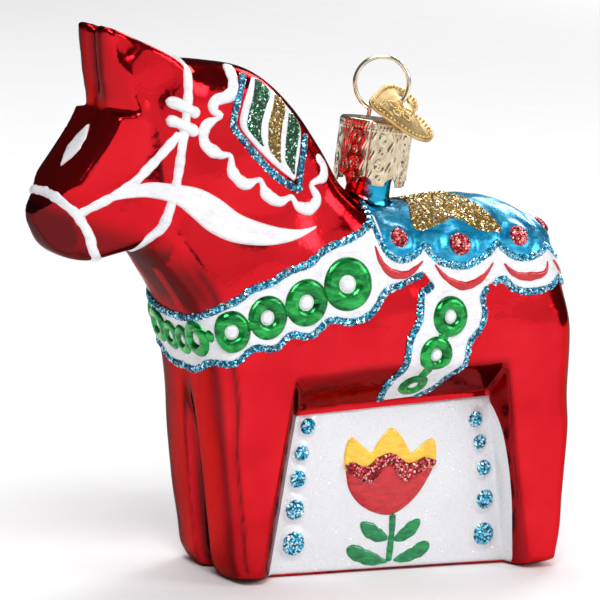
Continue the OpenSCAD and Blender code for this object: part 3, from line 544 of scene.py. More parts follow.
# ---------------------------------------------------------------------------
# Finishes
# ---------------------------------------------------------------------------
class Finish:
    """A material with its Principled shader and short helpers for its nodes."""

    def __init__(self, name, **sockets):
        self.material = bpy.data.materials.new(name)
        self.material.use_nodes = True
        self.tree = self.material.node_tree
        self.shader = next(n for n in self.tree.nodes if n.type == "BSDF_PRINCIPLED")
        for key, value in sockets.items():
            self.shader.inputs[key.replace("_", " ")].default_value = value
        self.place = self.node("ShaderNodeTexCoord").outputs["Object"]

    def node(self, kind, settings=None, **inputs):
        n = self.tree.nodes.new(kind)
        for key, value in (settings or {}).items():
            setattr(n, key, value)
        for key, value in inputs.items():
            socket = n.inputs[int(key[1:])] if key[0] == "_" and key[1:].isdigit() else n.inputs[key.replace("_", " ")]
            self.join(value, socket)
        return n

    def join(self, value, socket):
        if isinstance(value, bpy.types.NodeSocket):
            self.tree.links.new(value, socket)
        else:
            socket.default_value = value

    def feed(self, key, value):
        self.join(value, self.shader.inputs[key.replace("_", " ")])

    def noise(self, scale, detail=3.0, rough=0.55, stretch=None, distortion=0.0):
        where = self.place
        if stretch:
            where = self.node("ShaderNodeMapping", Vector=where, Scale=stretch).outputs[0]
        return self.node("ShaderNodeTexNoise", Vector=where, Scale=scale, Detail=detail, Roughness=rough,
                         Distortion=distortion).outputs["Fac"]

    def spread(self, value, lo, hi, to_lo=0.0, to_hi=1.0):
        return self.node("ShaderNodeMapRange", _0=value, _1=lo, _2=hi, _3=to_lo, _4=to_hi).outputs[0]

    def mix(self, amount, a, b):
        n = self.node("ShaderNodeMix", {"data_type": "RGBA"})
        self.join(amount, n.inputs[0])
        self.join(a, n.inputs[6])
        self.join(b, n.inputs[7])
        return n.outputs[2]

    def attribute(self, name):
        return self.node("ShaderNodeAttribute", {"attribute_name": name}).outputs["Fac"]

    def ramp(self, value, *stops):
        n = self.node("ShaderNodeValToRGB", Fac=value)
        band = n.color_ramp
        while len(band.elements) < len(stops):
            band.elements.new(0.5)
        for element, (at, color) in zip(band.elements, stops):
            element.position, element.color = at, (*color, 1)
        return n.outputs[0]

    def bump(self, *heights):
        """Bumps laid over each other: (height, distance in metres, strength)."""
        normal = None
        for height, distance, strength in heights:
            n = self.node("ShaderNodeBump", Height=height, Distance=distance, Strength=strength)
            if normal:
                self.join(normal, n.inputs["Normal"])
            normal = n.outputs[0]
        self.feed("Normal", normal)


def lacquered_glass():
    """Silvered glass under clear red lacquer, with painted shade and painted dark reflections mixed in as near-black
    red; blue on the tail side of the neck.
    """
    f = Finish("red_lacquer_on_silvered_glass", Metallic=1.0, Coat_Weight=0.14, Coat_Roughness=0.04, Coat_IOR=1.45,
               Specular_Tint=(0.30, 0.015, 0.02, 1))
    thick = f.noise(90, 2)
    red = f.ramp(thick, (0.25, (0.54, 0.005, 0.012)), (0.5, (0.64, 0.008, 0.016)), (0.8, (0.72, 0.014, 0.024)))
    # painted shade and painted dark reflections: the red turns near black where this attribute is high
    red = f.mix(f.attribute("painted_shade_and_reflection"), red, (0.10, 0.008, 0.009, 1))
    blue = f.ramp(thick, (0.3, (0.0, 0.16, 0.34)), (0.6, (0.01, 0.33, 0.56)), (0.8, (0.05, 0.45, 0.66)))
    f.feed("Base Color", f.mix(f.attribute("blue"), red, blue))
    f.feed("Roughness", f.spread(f.noise(420, 4), 0.3, 0.75, 0.09, 0.2))
    f.bump((f.noise(75, 2, 0.4), 0.0016, 0.55), (f.noise(330, 2, 0.5), 0.00022, 0.5), (f.noise(1900, 2), 0.00002, 0.5))
    return f.material


def lacquer(name, dark, mid, light, rough, metal):
    """Clear coloured lacquer brushed over silvered glass."""
    f = Finish(name, Metallic=metal, Coat_Weight=0.18, Coat_Roughness=0.06)
    stroke = f.noise(260, 4, 0.6, (1, 1, 2.2), 1.2)
    f.feed("Base Color", f.ramp(stroke, (0.3, dark), (0.5, mid), (0.72, light)))
    f.feed("Roughness", f.spread(f.noise(600, 3), 0.3, 0.7, *rough))
    f.bump((f.noise(170, 3, 0.5), 0.0006, 0.6), (stroke, 0.00012, 0.5))
    return f.material


def enamel(name, shade, color, light, rough=(0.24, 0.42), coat=0.35):
    """Glossy enamel laid by brush, with streaks and a slightly uneven coat."""
    f = Finish(name, Coat_Weight=coat, Coat_Roughness=0.12)
    stroke = f.noise(420, 5, 0.65, (1, 1, 2.6), 0.6)
    f.feed("Base Color", f.ramp(stroke, (0.28, shade), (0.48, color), (0.75, light)))
    f.feed("Roughness", f.spread(f.noise(900, 3), 0.3, 0.7, *rough))
    f.bump((f.noise(300, 3), 0.00025, 0.6), (stroke, 0.00009, 0.7), (f.noise(3200, 2), 0.00002, 0.5))
    return f.material


def flakes(name, dark, mid, light, spark):
    """Metallised flakes, each with its own tint."""
    f = Finish(name, Metallic=0.85, Coat_Weight=0.3, Coat_Roughness=0.1)
    tint = f.attribute("flake")
    f.feed("Base Color", f.ramp(tint, (0.12, dark), (0.4, mid), (0.72, light), (0.94, spark)))
    f.feed("Roughness", f.spread(f.noise(5200, 1), 0.3, 0.7, 0.16, 0.4))
    return f.material


def glue(name, color):
    """Clear glue tinted by the flakes set in it."""
    f = Finish(name, Metallic=0.2, Coat_Weight=0.2, Coat_Roughness=0.15)
    grain = f.noise(2600, 4, 0.7)
    f.feed("Base Color", f.mix(grain, tuple(0.12 * c for c in color) + (1,), tuple(0.6 * c for c in color) + (1,)))
    f.feed("Roughness", f.spread(grain, 0.3, 0.7, 0.3, 0.55))
    f.bump((grain, 0.00015, 0.9))
    return f.material


def plated(name, dark, color, light, rough):
    """Thin stamped sheet or drawn wire with a plated, slightly rubbed skin."""
    f = Finish(name, Metallic=1.0)
    cloud = f.noise(700, 4)
    f.feed("Base Color", f.ramp(cloud, (0.25, dark), (0.5, color), (0.8, light)))
    f.feed("Roughness", f.spread(f.noise(1400, 5, 0.7), 0.3, 0.72, *rough))
    f.bump((f.noise(1500, 4, 0.6), 0.00004, 0.6), (f.noise(3000, 2, 0.5, (1, 1, 0.08)), 0.00001, 0.35))
    return f.material


WHITE = enamel("white_enamel", (0.66, 0.66, 0.71), (0.82, 0.82, 0.85), (0.88, 0.88, 0.90))
RED_ENAMEL = enamel("red_enamel", (0.34, 0.002, 0.008), (0.54, 0.006, 0.012), (0.68, 0.02, 0.03), (0.2, 0.36), 0.15)
YELLOW = enamel("yellow_enamel", (0.80, 0.36, 0.01), (0.92, 0.56, 0.02), (0.96, 0.70, 0.10), (0.2, 0.36), 0.6)
LEAF_GREEN = enamel("leaf_green_enamel", (0.0, 0.07, 0.025), (0.0, 0.21, 0.06), (0.015, 0.38, 0.11), (0.16, 0.32), 0.15)
EMERALD = lacquer("emerald_lacquer", (0.0, 0.04, 0.01), (0.003, 0.28, 0.045), (0.05, 0.60, 0.11), (0.14, 0.28), 0.7)
TURQUOISE = lacquer("turquoise_lacquer", (0.0, 0.16, 0.36), (0.003, 0.31, 0.57), (0.07, 0.56, 0.78), (0.2, 0.38), 0.6)
GLITTER = {
    "blue": (flakes("blue_flakes", (0.0, 0.03, 0.09), (0.0, 0.20, 0.40), (0.03, 0.56, 0.84), (0.75, 0.97, 1.0)),
             glue("blue_glue", (0.0, 0.16, 0.28))),
    "green": (flakes("green_flakes", (0.0, 0.03, 0.01), (0.0, 0.13, 0.05), (0.05, 0.38, 0.15), (0.7, 1.0, 0.8)),
              glue("green_glue", (0.0, 0.08, 0.03))),
    "gold": (flakes("gold_flakes", (0.16, 0.07, 0.0), (0.50, 0.27, 0.02), (0.80, 0.56, 0.10), (1.0, 0.95, 0.7)),
             glue("gold_glue", (0.34, 0.18, 0.02))),
    "red": (flakes("red_flakes", (0.08, 0.0, 0.005), (0.34, 0.005, 0.015), (0.62, 0.02, 0.03), (1.0, 0.40, 0.38)),
            glue("red_glue", (0.22, 0.004, 0.01))),
    "clear": (flakes("clear_flakes", (0.55, 0.56, 0.60), (0.75, 0.76, 0.80), (0.92, 0.92, 0.94), (1.0, 1.0, 1.0)),
              None),
}
CAP_PLATE = plated("champagne_plated_sheet", (0.46, 0.36, 0.20), (0.72, 0.60, 0.42), (0.90, 0.80, 0.66), (0.14, 0.32))
WIRE_PLATE = plated("pale_gold_wire", (0.56, 0.50, 0.34), (0.80, 0.74, 0.56), (0.90, 0.86, 0.72), (0.12, 0.26))
CHARM_PLATE = plated("satin_brass_sheet", (0.52, 0.34, 0.12), (0.72, 0.50, 0.20), (0.84, 0.64, 0.32), (0.30, 0.46))


# ---------------------------------------------------------------------------
# Node trees for what repeats
# ---------------------------------------------------------------------------
def tree_with(name, *sockets):
    tree = bpy.data.node_groups.new(name, "GeometryNodeTree")
    tree.interface.new_socket("Geometry", in_out="INPUT", socket_type="NodeSocketGeometry")
    for label, kind in sockets:
        tree.interface.new_socket(label, in_out="INPUT", socket_type="NodeSocket" + kind)
    tree.interface.new_socket("Geometry", in_out="OUTPUT", socket_type="NodeSocketGeometry")
    start, end = tree.nodes.new("NodeGroupInput"), tree.nodes.new("NodeGroupOutput")

    def put(kind, settings=None, **inputs):
        n = tree.nodes.new(kind)
        for key, value in (settings or {}).items():
            setattr(n, key, value)
        for key, value in inputs.items():
            socket = n.inputs[int(key[1:])] if key[0] == "_" and key[1:].isdigit() else n.inputs[key.replace("_", " ")]
            if isinstance(value, bpy.types.NodeSocket):
                tree.links.new(value, socket)
            else:
                socket.default_value = value
        return n
    return tree, start, end, put


def glitter_tree():
    """Small flakes strewn over a glued surface, each tipped its own way."""
    tree, start, end, put = tree_with("strewn_flakes", ("Flakes per Square Metre", "Float"), ("Flake Radius", "Float"),
                                      ("Tip", "Float"), ("Seed", "Int"), ("Flake Finish", "Material"))
    g = start.outputs
    strewn = put("GeometryNodeDistributePointsOnFaces", {"distribute_method": "RANDOM"}, Mesh=g["Geometry"],
                 Density=g["Flakes per Square Metre"], Seed=g["Seed"])
    low = put("ShaderNodeCombineXYZ",
              X=put("ShaderNodeMath", {"operation": "MULTIPLY"}, _0=g["Tip"], _1=-1.0).outputs[0],
              Y=put("ShaderNodeMath", {"operation": "MULTIPLY"}, _0=g["Tip"], _1=-1.0).outputs[0], Z=0.0)
    high = put("ShaderNodeCombineXYZ", X=g["Tip"], Y=g["Tip"], Z=6.283)
    tip = put("FunctionNodeRandomValue", {"data_type": "FLOAT_VECTOR"}, _0=low.outputs[0], _1=high.outputs[0],
              Seed=g["Seed"])
    turn = put("FunctionNodeEulerToRotation", Euler=tip.outputs[0])
    facing = put("FunctionNodeRotateRotation", {"rotation_space": "LOCAL"}, Rotation=strewn.outputs["Rotation"],
                 Rotate_By=turn.outputs[0])
    flake = put("GeometryNodeMeshCone", {"fill_type": "NGON"}, Vertices=6, Radius_Bottom=g["Flake Radius"],
                Radius_Top=0.0,
                Depth=put("ShaderNodeMath", {"operation": "MULTIPLY"}, _0=g["Flake Radius"], _1=0.55).outputs[0])
    size = put("FunctionNodeRandomValue", {"data_type": "FLOAT"}, _2=0.65, _3=1.25)
    on = put("GeometryNodeInstanceOnPoints", Points=strewn.outputs["Points"], Instance=flake.outputs["Mesh"],
             Rotation=facing.outputs[0], Scale=size.outputs[1])
    shade = put("FunctionNodeRandomValue", {"data_type": "FLOAT"}, _2=0.0, _3=1.0)
    tint = put("GeometryNodeStoreNamedAttribute", {"data_type": "FLOAT", "domain": "INSTANCE"}, Geometry=on.outputs[0],
               Name="flake", Value=shade.outputs[1])
    solid = put("GeometryNodeRealizeInstances", Geometry=tint.outputs[0])
    finish = put("GeometryNodeSetMaterial", Geometry=solid.outputs[0], Material=g["Flake Finish"])
    tree.links.new(finish.outputs[0], end.inputs[0])
    return tree


def bead_row_tree():
    """Round beads set one after another along an edge."""
    tree, start, end, put = tree_with("beaded_edge", ("Bead Pitch", "Float"), ("Bead Radius", "Float"),
                                      ("Finish", "Material"))
    g = start.outputs
    line = put("GeometryNodeMeshToCurve", Mesh=g["Geometry"])
    row = put("GeometryNodeResampleCurve", {"mode": "LENGTH"}, Curve=line.outputs[0], Length=g["Bead Pitch"])
    ball = put("GeometryNodeMeshUVSphere", Segments=8, Rings=5, Radius=g["Bead Radius"])
    on = put("GeometryNodeInstanceOnPoints", Points=row.outputs[0], Instance=ball.outputs["Mesh"])
    solid = put("GeometryNodeRealizeInstances", Geometry=on.outputs[0])
    smooth = put("GeometryNodeSetShadeSmooth", Geometry=solid.outputs[0])
    finish = put("GeometryNodeSetMaterial", Geometry=smooth.outputs[0], Material=g["Finish"])
    tree.links.new(finish.outputs[0], end.inputs[0])
    return tree


STREWN, BEADED = glitter_tree(), bead_row_tree()


def grown(mesh, tree, **values):
    """The mesh that a node tree makes from this one."""
    maker = bpy.data.objects.new("maker", mesh)
    bpy.context.scene.collection.objects.link(maker)
    modifier = maker.modifiers.new("tree", "NODES")
    modifier.node_group = tree
    for item in tree.interface.items_tree:
        if item.in_out == "INPUT" and item.name.replace(" ", "_") in values:
            modifier[item.identifier] = values[item.name.replace(" ", "_")]
    bpy.context.view_layer.update()
    done = bpy.data.meshes.new_from_object(maker.evaluated_get(bpy.context.evaluated_depsgraph_get()))
    maker.modifiers.remove(modifier)
    bpy.data.objects.remove(maker)
    return done


def strewn(parts, finish, per_mm2, radius, tip, seed):
    """Flakes strewn over the parts' top faces."""
    return grown(mesh_of("glued", *joined(parts)), STREWN, Flakes_per_Square_Metre=per_mm2 * 1e6,
                 Flake_Radius=radius * MM, Tip=tip, Seed=seed, Flake_Finish=finish)


def add_glitter(name, parts, color, per_mm2, radius, seed, both_flanks=True):
    """Glue laid on the glass with flakes strewn over it, as one piece."""
    flake_finish, glue_finish = GLITTER[color]
    glued, tops = [part[:2] for part in parts], [part[2] for part in parts]
    if both_flanks:
        glued, tops = mirrored(glued), mirrored(tops)
    grains = strewn(tops, flake_finish, per_mm2, radius, 0.55, seed)
    add_joined(name, mesh_of(name, *joined(glued)), glue_finish, grains)


def add_joined(name, base, material, grains):
    """A painted layer and the flakes in it, made one piece on the glass."""
    base.materials.append(material)
    base.polygons.foreach_set("use_smooth", [True] * len(base.polygons))
    both = bmesh.new()
    both.from_mesh(base)
    for material in grains.materials:
        if material and material.name not in [m.name for m in base.materials]:
            base.materials.append(material)
    flake_slot = len(base.materials) - 1
    both.verts.layers.float.new("flake")
    n = len(both.faces)
    both.from_mesh(grains)
    both.faces.ensure_lookup_table()
    for face in both.faces[n:]:
        face.material_index = flake_slot
    both.to_mesh(base)
    both.free()
    base.update()
    piece = bpy.data.objects.new(name, base)
    bpy.context.scene.collection.objects.link(piece)
    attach(piece, "glass")
    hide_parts(name)


# ---------------------------------------------------------------------------
# The blown glass horse
# ---------------------------------------------------------------------------
def build_glass():
    verts, quads = skin_of_cells(0.62)
    verts = settle(verts, 2)
    verts[:, 2] = np.maximum(verts[:, 2], 0)
    mesh = mesh_of("glass_horse", verts, quads)
    x, y, z = verts.T
    # painted shade on the walls of the hollow beside the web, in the slots between the feet and in the furrow between
    # the ears
    near_wall = step(-0.8, 0.4, hollow(x, y, z)) * (np.abs(y) > WEB_HALF + 0.3)
    feet = np.exp(-(y / 1.7)**2) * (1 - step(24, 44, z)) * ((x < -8) | (x > 44))
    ears = np.exp(-(y / 1.3)**2) * step(79, 84, z) * (x < -38)
    h, r = along_neck(verts)
    # painted dark reflections in broad streaks along the front corners of chest and legs, and painted shade under the
    # jaw, on the throat, the ear fronts and the nose
    way = outward(verts)
    facing = np.degrees(np.arctan2(-way[:, 0], np.abs(way[:, 1]) + 1e-6))
    low = (1 - step(52, 58, z)) * (x < 0)
    streak = (ridge(facing - 22, 9) + 0.9 * ridge(facing - 74, 9)
              + 0.8 * step(84, 88, facing) * ridge(np.abs(y) - 9.5, 1.2))
    throat = step(25, 45, facing) * step(44, 50, z) * (1 - step(57, 60, z)) * (x > -36) * (np.abs(np.abs(y) - 4) > 1)
    ear_front = step(30, 60, facing) * step(78, 82, z) * (x < -37) * (0.35 + 0.5 * ridge(np.abs(y) - 3.6, 1.1))
    jaw = (x < -30) * (1 - step(57, 61.5, z + 0.28 * (x + 38))) * 0.75
    nose = (x < -46) * step(20, 60, facing) * (1 - step(63, 66, z)) * 0.6
    # all the painted shade and painted dark reflections together, kept as a vertex attribute that darkens the red
    # lacquer
    painted_shade_and_reflection = np.clip(0.85 * near_wall + 0.7 * feet + 0.5 * ears + low * (0.9 * streak + 0.8 * throat)
                     + ear_front + jaw + nose,
                     0, 0.94)
    blue = step(-0.8, 0.8, (x - NECK_FOOT[0]) + 0.55 * np.abs(y)) * (1 - step(6.2, 8, r)) * step(-3, -1.5, h)
    for name, values in (("painted_shade_and_reflection", painted_shade_and_reflection), ("blue", blue)):
        mesh.attributes.new(name, "FLOAT", "POINT").data.foreach_set("value", values)
    add_piece("glass_horse", mesh, "glass", "glass_body", lacquered_glass())


build_glass()


# ---------------------------------------------------------------------------
# White enamel of the head and mane
# ---------------------------------------------------------------------------
def add_enamel(name, parts, material):
    add_piece(name, mesh_of(name, *joined(parts)), "glass", name, material)


NOSEBAND = [(-43, 57.6, -90, -62), (-43, 57.4, -40, -48), (-42.6, 57.4, 0, -12), (-43.9, 59, 0, 0),
            (-45.8, 61.8, 0, 0), (-46.9, 63, 10, 8), (-47, 63, 40, 32), (-47, 63, 70, 44), (-47, 63, 90, 48)]
HEADSTALL = [(-35.4, 56.8, 0, -6), (-33.6, 58.8), (-32.2, 60.4), (-31.3, 62.9), (-30.4, 66.5), (-29.7, 70),
             (-28.9, 76), (-28.6, 80), (-28.4, 81.6, 0, 18), (-28, 82, 0, 42), (-27.5, 82, 0, 66),
             (-27.2, 82, 0, 90)]
CHEEK = [(-46.2, 62.2), (-43.7, 63.8), (-40.2, 65.7), (-37.1, 67.8), (-34.6, 70.4), (-32, 73.4), (-29.6, 76)]
REIN_TOP = [(-42.6, 64.9), (-38.6, 66.7), (-34.6, 67.9), (-30.2, 67.7), (-25.8, 67.0), (-21.9, 65.2),
            (-17.9, 62.7), (-12, 60.9), (-7.3, 60.4), (-3.7, 60.9)]
REIN_BOTTOM = [(-42.8, 64.2), (-38.4, 65.2), (-34.4, 65.4), (-30.4, 64.6), (-27.4, 62.6), (-23.9, 60.0),
               (-19.4, 58.3), (-13.4, 57.9), (-8, 58.8), (-3.9, 60.5)]

add_enamel("bridle_straps", mirrored(plain([bead(CHEEK, 1.6, 0.32, seed=2)] + [
    bead([(-32.3, z + 0.9), (-30.4, z + 0.5), (-28.4, z - 0.3), (-26.2, z - 1.3)], 1.9, 0.62,
         seed=z) for z in (80.2, 77.2)]))
    + plain([bead(NOSEBAND, 1.65, 0.32, over=True, seed=1), bead(HEADSTALL, 1.7, 0.34, over=True, seed=3)]),
    WHITE)
add_enamel("rein", mirrored(plain([field(REIN_TOP, REIN_BOTTOM, 0.34)])), WHITE)
add_enamel("face_blaze", plain([bead([(-37.6 - 0.64 * i, 73.4 - 0.82 * i, 90, 35) for i in range(9)],
                                     lambda u: 0.3 + 4.4 * np.sin(np.pi * u)**1.2, 0.3, across=9)]),
           WHITE)

SCALLOPS = [(-18.7, 82, 0, 60), (-19.3, 82.6, 0, 30), (-20.2, 82.6), (-23.4, 81.2), (-23.4, 79.6),
            (-22.2, 78.8), (-24.9, 77), (-24.9, 74.2), (-22.4, 72.6), (-20.6, 72.4), (-20.1, 69.8),
            (-17.6, 67.8), (-15, 68.5), (-13.6, 66.2), (-11, 64.9), (-8.7, 65.6), (-7.2, 64.1), (-4.7, 63.7),
            (-3.3, 65.4), (-4.4, 67.6), (-1.9, 68.8), (-1.6, 70.6), (-3.2, 72.3)]
SCALLOP_POINTS = ((-22.2, 78.8), (-20.6, 72.4), (-15, 68.5), (-8.7, 65.6), (-4.4, 67.6))


def scallop_width(u):
    s, t = spaced(stations(SCALLOPS), 0.3)
    u_of = [t[np.argmin(np.hypot(s[:, 0] - x, s[:, 1] - z))] / t[-1] for x, z in SCALLOP_POINTS]
    away = np.min([np.abs(u - c) * t[-1] for c in u_of], axis=0)
    return 1.0 + 1.05 * step(0.4, 3.2, away)


add_enamel("mane_scallops", mirrored(plain([bead(SCALLOPS, scallop_width, 0.36, gap=0.3, seed=4)])), WHITE)
MANE_LEFT = [(-15.5, 80, 0, 42), (-17.7, 82.2), (-18.5, 79.8), (-18.7, 77.2), (-17, 74.9), (-14.2, 72.3),
             (-11.2, 70.1), (-8.2, 68.3)]
MANE_RIGHT = [(-14.4, 80, 0, 42), (-11.3, 82.6), (-9, 80.5), (-7.4, 78.8), (-6.4, 77), (-6.9, 73.6), (-7.3, 71),
              (-7.8, 68.5)]
GREEN_1 = ([(-15.1, 80, 0, 40), (-16.5, 82.5), (-17.4, 79.6), (-17.7, 77.2), (-16.9, 75.9), (-14.8, 73.9)],
           [(-14.2, 80, 0, 38), (-12.6, 82.7), (-13.9, 80.6), (-14.8, 78.2), (-15.1, 76), (-14.6, 73.9)])
GOLD_STRIPE = ([(-11.7, 82.3), (-12.9, 80.4), (-13.9, 78), (-14, 75.4), (-13.7, 73.5), (-11.4, 71.2)],
               [(-11.2, 82.3), (-9.6, 80.4), (-10.8, 77.6), (-11.2, 75), (-11.3, 73), (-11.1, 71.1)])
GREEN_2 = ([(-8.9, 79.8), (-9.9, 77.8), (-10.4, 75.4), (-10.5, 72.8), (-10.3, 71.4), (-8.3, 69.2)],
           [(-8.4, 79.6), (-6.8, 77.2), (-7.4, 74.6), (-7.8, 72.4), (-8, 70.8), (-8, 69.1)])
add_enamel("mane_white_lines", mirrored(plain([field(MANE_LEFT, MANE_RIGHT, 0.16)])), WHITE)
add_glitter("mane_green_stripes", [field(*GREEN_1, 0.28, gap=0.35), field(*GREEN_2, 0.28, gap=0.35)], "green",
            per_mm2=9, radius=0.2, seed=11)
add_glitter("mane_gold_stripe", [field(*GOLD_STRIPE, 0.28, gap=0.35)], "gold", per_mm2=9, radius=0.2, seed=12)
MANE_BORDER = [(-17, 80, 0, 45), (-18.9, 82.4), (-19.6, 79.8), (-19.8, 77.1), (-18, 74.6), (-15, 71.6),
               (-11.6, 68.9), (-8.6, 67.4), (-6.9, 66.9), (-6.9, 68.4), (-6.6, 70.6), (-6.1, 73.2),
               (-5.5, 75.8)]
add_glitter("mane_glitter_border", [bead(MANE_BORDER, 1.15, 0.34, gap=0.3)], "blue", per_mm2=15, radius=0.24, seed=13)

# ---------------------------------------------------------------------------
# Collar
# ---------------------------------------------------------------------------
COLLAR_TOP = [(-14, 44.7, 90), (-14, 44.7, 79), (-14, 45, 60), (-14, 45.8, 47), (-14, 47.6, 33),
              (-14.3, 49.2, 19), (-16.6, 50.6), (-12.6, 51.9), (-10.2, 53.4), (-6, 54.8), (-2.6, 57),
              (1.6, 58.6), (5, 60.2), (7.4, 61.6), (8.5, 62.6)]
COLLAR_LOW = [(-14, 36.2, 90), (-14, 36, 80), (-14, 36.2, 57), (-14, 38.2, 38), (-14, 38.6, 22), (-15.8, 41),
              (-11.6, 41), (-8.8, 43), (-4.8, 42.9), (-1.4, 45.4), (2.3, 45.1), (5.6, 46.4), (7.9, 49.4),
              (9.4, 50.8)]
COLLAR_RINGS = [((1.5, 51.4), 4.6), ((-6.1, 48.4), 4.1), ((-13.3, 46), 3.8), ((-14, 43.8, 24.7), 3.6),
                ((-14, 41.8, 52), 3.3), ((-14, 40.8, 76), 2.7)]
add_enamel("collar_band", plain([field(COLLAR_TOP[::-1], COLLAR_LOW[::-1], 0.22, gap=0.6, over="along")]), WHITE)


def joined_rings(rings):
    """Raised rings, each joined to the next by a short low neck."""
    parts = [laid(ring_profile(r, 0.95 if r > 3 else 0.8), s, 44, closed=True) for s, r in rings]
    for (a, ra), (b, rb) in zip(rings, rings[1:]):
        a, b = stations([a])[0], stations([b])[0]
        length = np.linalg.norm(np.diff(cast(np.array([a, b])), axis=0))
        path = [tuple(a + (b - a) * t) for t in np.linspace((ra - 0.9) / length, 1 - (rb - 0.9) / length, 5)]
        parts.append(bead(path, 0.75 * min(ra, rb), 0.55, gap=0.25)[:2])
    return parts


def ring_dots(rings):
    """Domed dots in the dimples of raised rings."""
    return plain([laid([(r * 0.3, -0.15), (r * 0.3, 0.2), (r * 0.27, 0.36), (r * 0.18, 0.44), (r * 0.06, 0.46)], s, 24)
                  for s, r in rings])


add_enamel("collar_rings", mirrored(joined_rings(COLLAR_RINGS)), EMERALD)
add_enamel("collar_dots", mirrored(ring_dots(COLLAR_RINGS)), WHITE)
add_glitter("collar_glitter_edges",
            [bead(path[::-1], 1.35, 0.4, gap=0.35, over=True) for path in (COLLAR_TOP[:-1], COLLAR_LOW)],
            "blue", per_mm2=15, radius=0.25, seed=14, both_flanks=False)

# ---------------------------------------------------------------------------
# Saddle cloth with its border, and the girth
# ---------------------------------------------------------------------------
HEM = [(8.2, 54, 0, 70), (7.6, 54, 0, 52), (7.2, 54, 0, 36), (7.8, 54, 0, 22), (9.2, 54, 0, 11),
       (11.6, 54, 0, 6), (14.2, 54, 0, 9), (16.4, 54, 0, 16.5), (16.8, 54, 0, 16), (19.2, 54, 0, 5),
       (23.7, 54, 0, 1.3), (28, 54, 0, 9), (30.3, 54, 0, 18), (30.7, 54, 0, 17.6), (33.3, 54, 0, 9),
       (36.6, 54, 0, 7), (38, 54, -10, 12), (38, 54, -16, 17), (38, 54, -19, 16), (38, 54, -34, 8),
       (38, 54, -53, 5), (38, 54, -72, 10), (38, 54, -86, 18), (38, 54, -90, 19)]
SPINE = [(8.8, 54, 0, 88), (12, 54, 0, 90), (18, 54, 0, 90), (24, 54, -10, 90), (30, 54, -40, 90),
         (35, 54, -78, 88), (38, 54, -90, 74), (38, 54, -90, 52), (38, 54, -90, 34), (38, 54, -90, 20)]
BORDER_LOW = [(9.2, 50.7), (11.6, 51.2), (14, 52.2), (16.2, 53.1), (19, 52.6), (23, 51.8), (27.4, 51),
              (29.8, 51.3), (31.8, 52.1), (33.6, 50.8), (36, 49.9), (38, 50, -5), (38, 50.6, -17),
              (38, 51.8, -30), (38, 51.2, -40), (38, 50.4, -56), (38, 51, -72), (38, 52, -84), (38, 52.2, -90)]
SADDLE_DOTS = [(11.7, 54, 0, 23.5), (23.2, 54, 0, 17.6), (35.1, 54, 0, 23.5), (38, 54, -45, 37)]
SADDLE_DOT_RADII = (1.75, 1.95, 1.85, 1.7)


def cloth_waves(x, y, z):
    """Low waves in the cloth, with a swelling and a furrow round each dot."""
    w = 0.10 * np.sin(0.9 * x + 0.5 * np.abs(y)) * np.sin(1.1 * np.abs(y) - 0.4 * x + 1)
    for s in SADDLE_DOTS:
        at, _ = on_glass(s)
        d = np.sqrt((x - at[0])**2 + (np.abs(y) - abs(at[1]))**2 + (z - at[2])**2)
        w = w + 0.4 * (1 - step(2.2, 3.4, d)) - 0.12 * np.exp(-((d - 3.7) / 0.5)**2)
    return w


def cloth_grid(along=110, across=26):
    hem, spine = resampled(HEM, along)[0], resampled(SPINE, along)[0]
    v = np.linspace(0, 1, across)[:, None]
    return hem[:, None] * (1 - v) + spine[:, None] * v


add_enamel("saddle_cloth", plain([patch(cloth_grid(), 0.2, over="across", relief=cloth_waves)]),
           TURQUOISE)
BORDER_EDGES = [(9.6, 54, 0, 62), (8.9, 54, 0, 50)] + HEM[3:], [(8.3, 54, 0, 62), (7.3, 55, 0, 38)] + BORDER_LOW
add_enamel("saddle_border", plain([field(*BORDER_EDGES, 0.2, over="along")]), WHITE)
CRESCENTS = [[(6.6, 54, 0, 18), (7.6, 55.2), (9.8, 53.2), (13, 53), (16.2, 55.2)],
             [(18.2, 54.6), (20.6, 52.2), (24, 50.9), (27.4, 52.2), (29.6, 55)],
             [(31.6, 54.8), (33.8, 53), (36.4, 52.4), (38, 52.9, -10), (38, 55, -14.5)],
             [(38, 54.9, -23), (38, 53, -36), (38, 52.2, -53), (38, 53, -70), (38, 54.6, -82)]]
add_enamel("saddle_crescents", mirrored(plain([bead(c, lambda u: 0.25 + 1.6 * np.sin(np.pi * u)**1.1, 0.46, gap=0.3)
                                               for c in CRESCENTS])),
           RED_ENAMEL)
GOLD_EDGE = [(x, 54, 0, tilt) for x, tilt in ((15.2, 37), (16.2, 31), (18.4, 32), (20.4, 35.5), (23.7, 40),
                                              (27.3, 29.5), (30.4, 25), (32.6, 28.5))]
GOLD_RIDGE = [(18.6, 54, 0, 88)] + [(x, 54, 0, 90) for x in (19, 20, 21.4, 23, 24.6, 26, 27.4)]
add_glitter("saddle_gold_patch", [field(GOLD_EDGE, GOLD_RIDGE, 0.34, gap=0.5, over="across")], "gold", per_mm2=10,
            radius=0.21, seed=15, both_flanks=False)
add_glitter("saddle_dots", [laid(pad(r, 1.25), s, 28) for s, r in zip(SADDLE_DOTS, SADDLE_DOT_RADII)], "red",
            per_mm2=15, radius=0.25, seed=16)
add_glitter("saddle_glitter_edge",
            [bead(HEM, 1.3, 0.36, gap=0.35, over=True), bead(BORDER_LOW[:4], 1.2, 0.36, gap=0.35),
             bead(BORDER_LOW[7:], 1.3, 0.36, gap=0.35, over=True)],
            "blue", per_mm2=15, radius=0.25, seed=17)

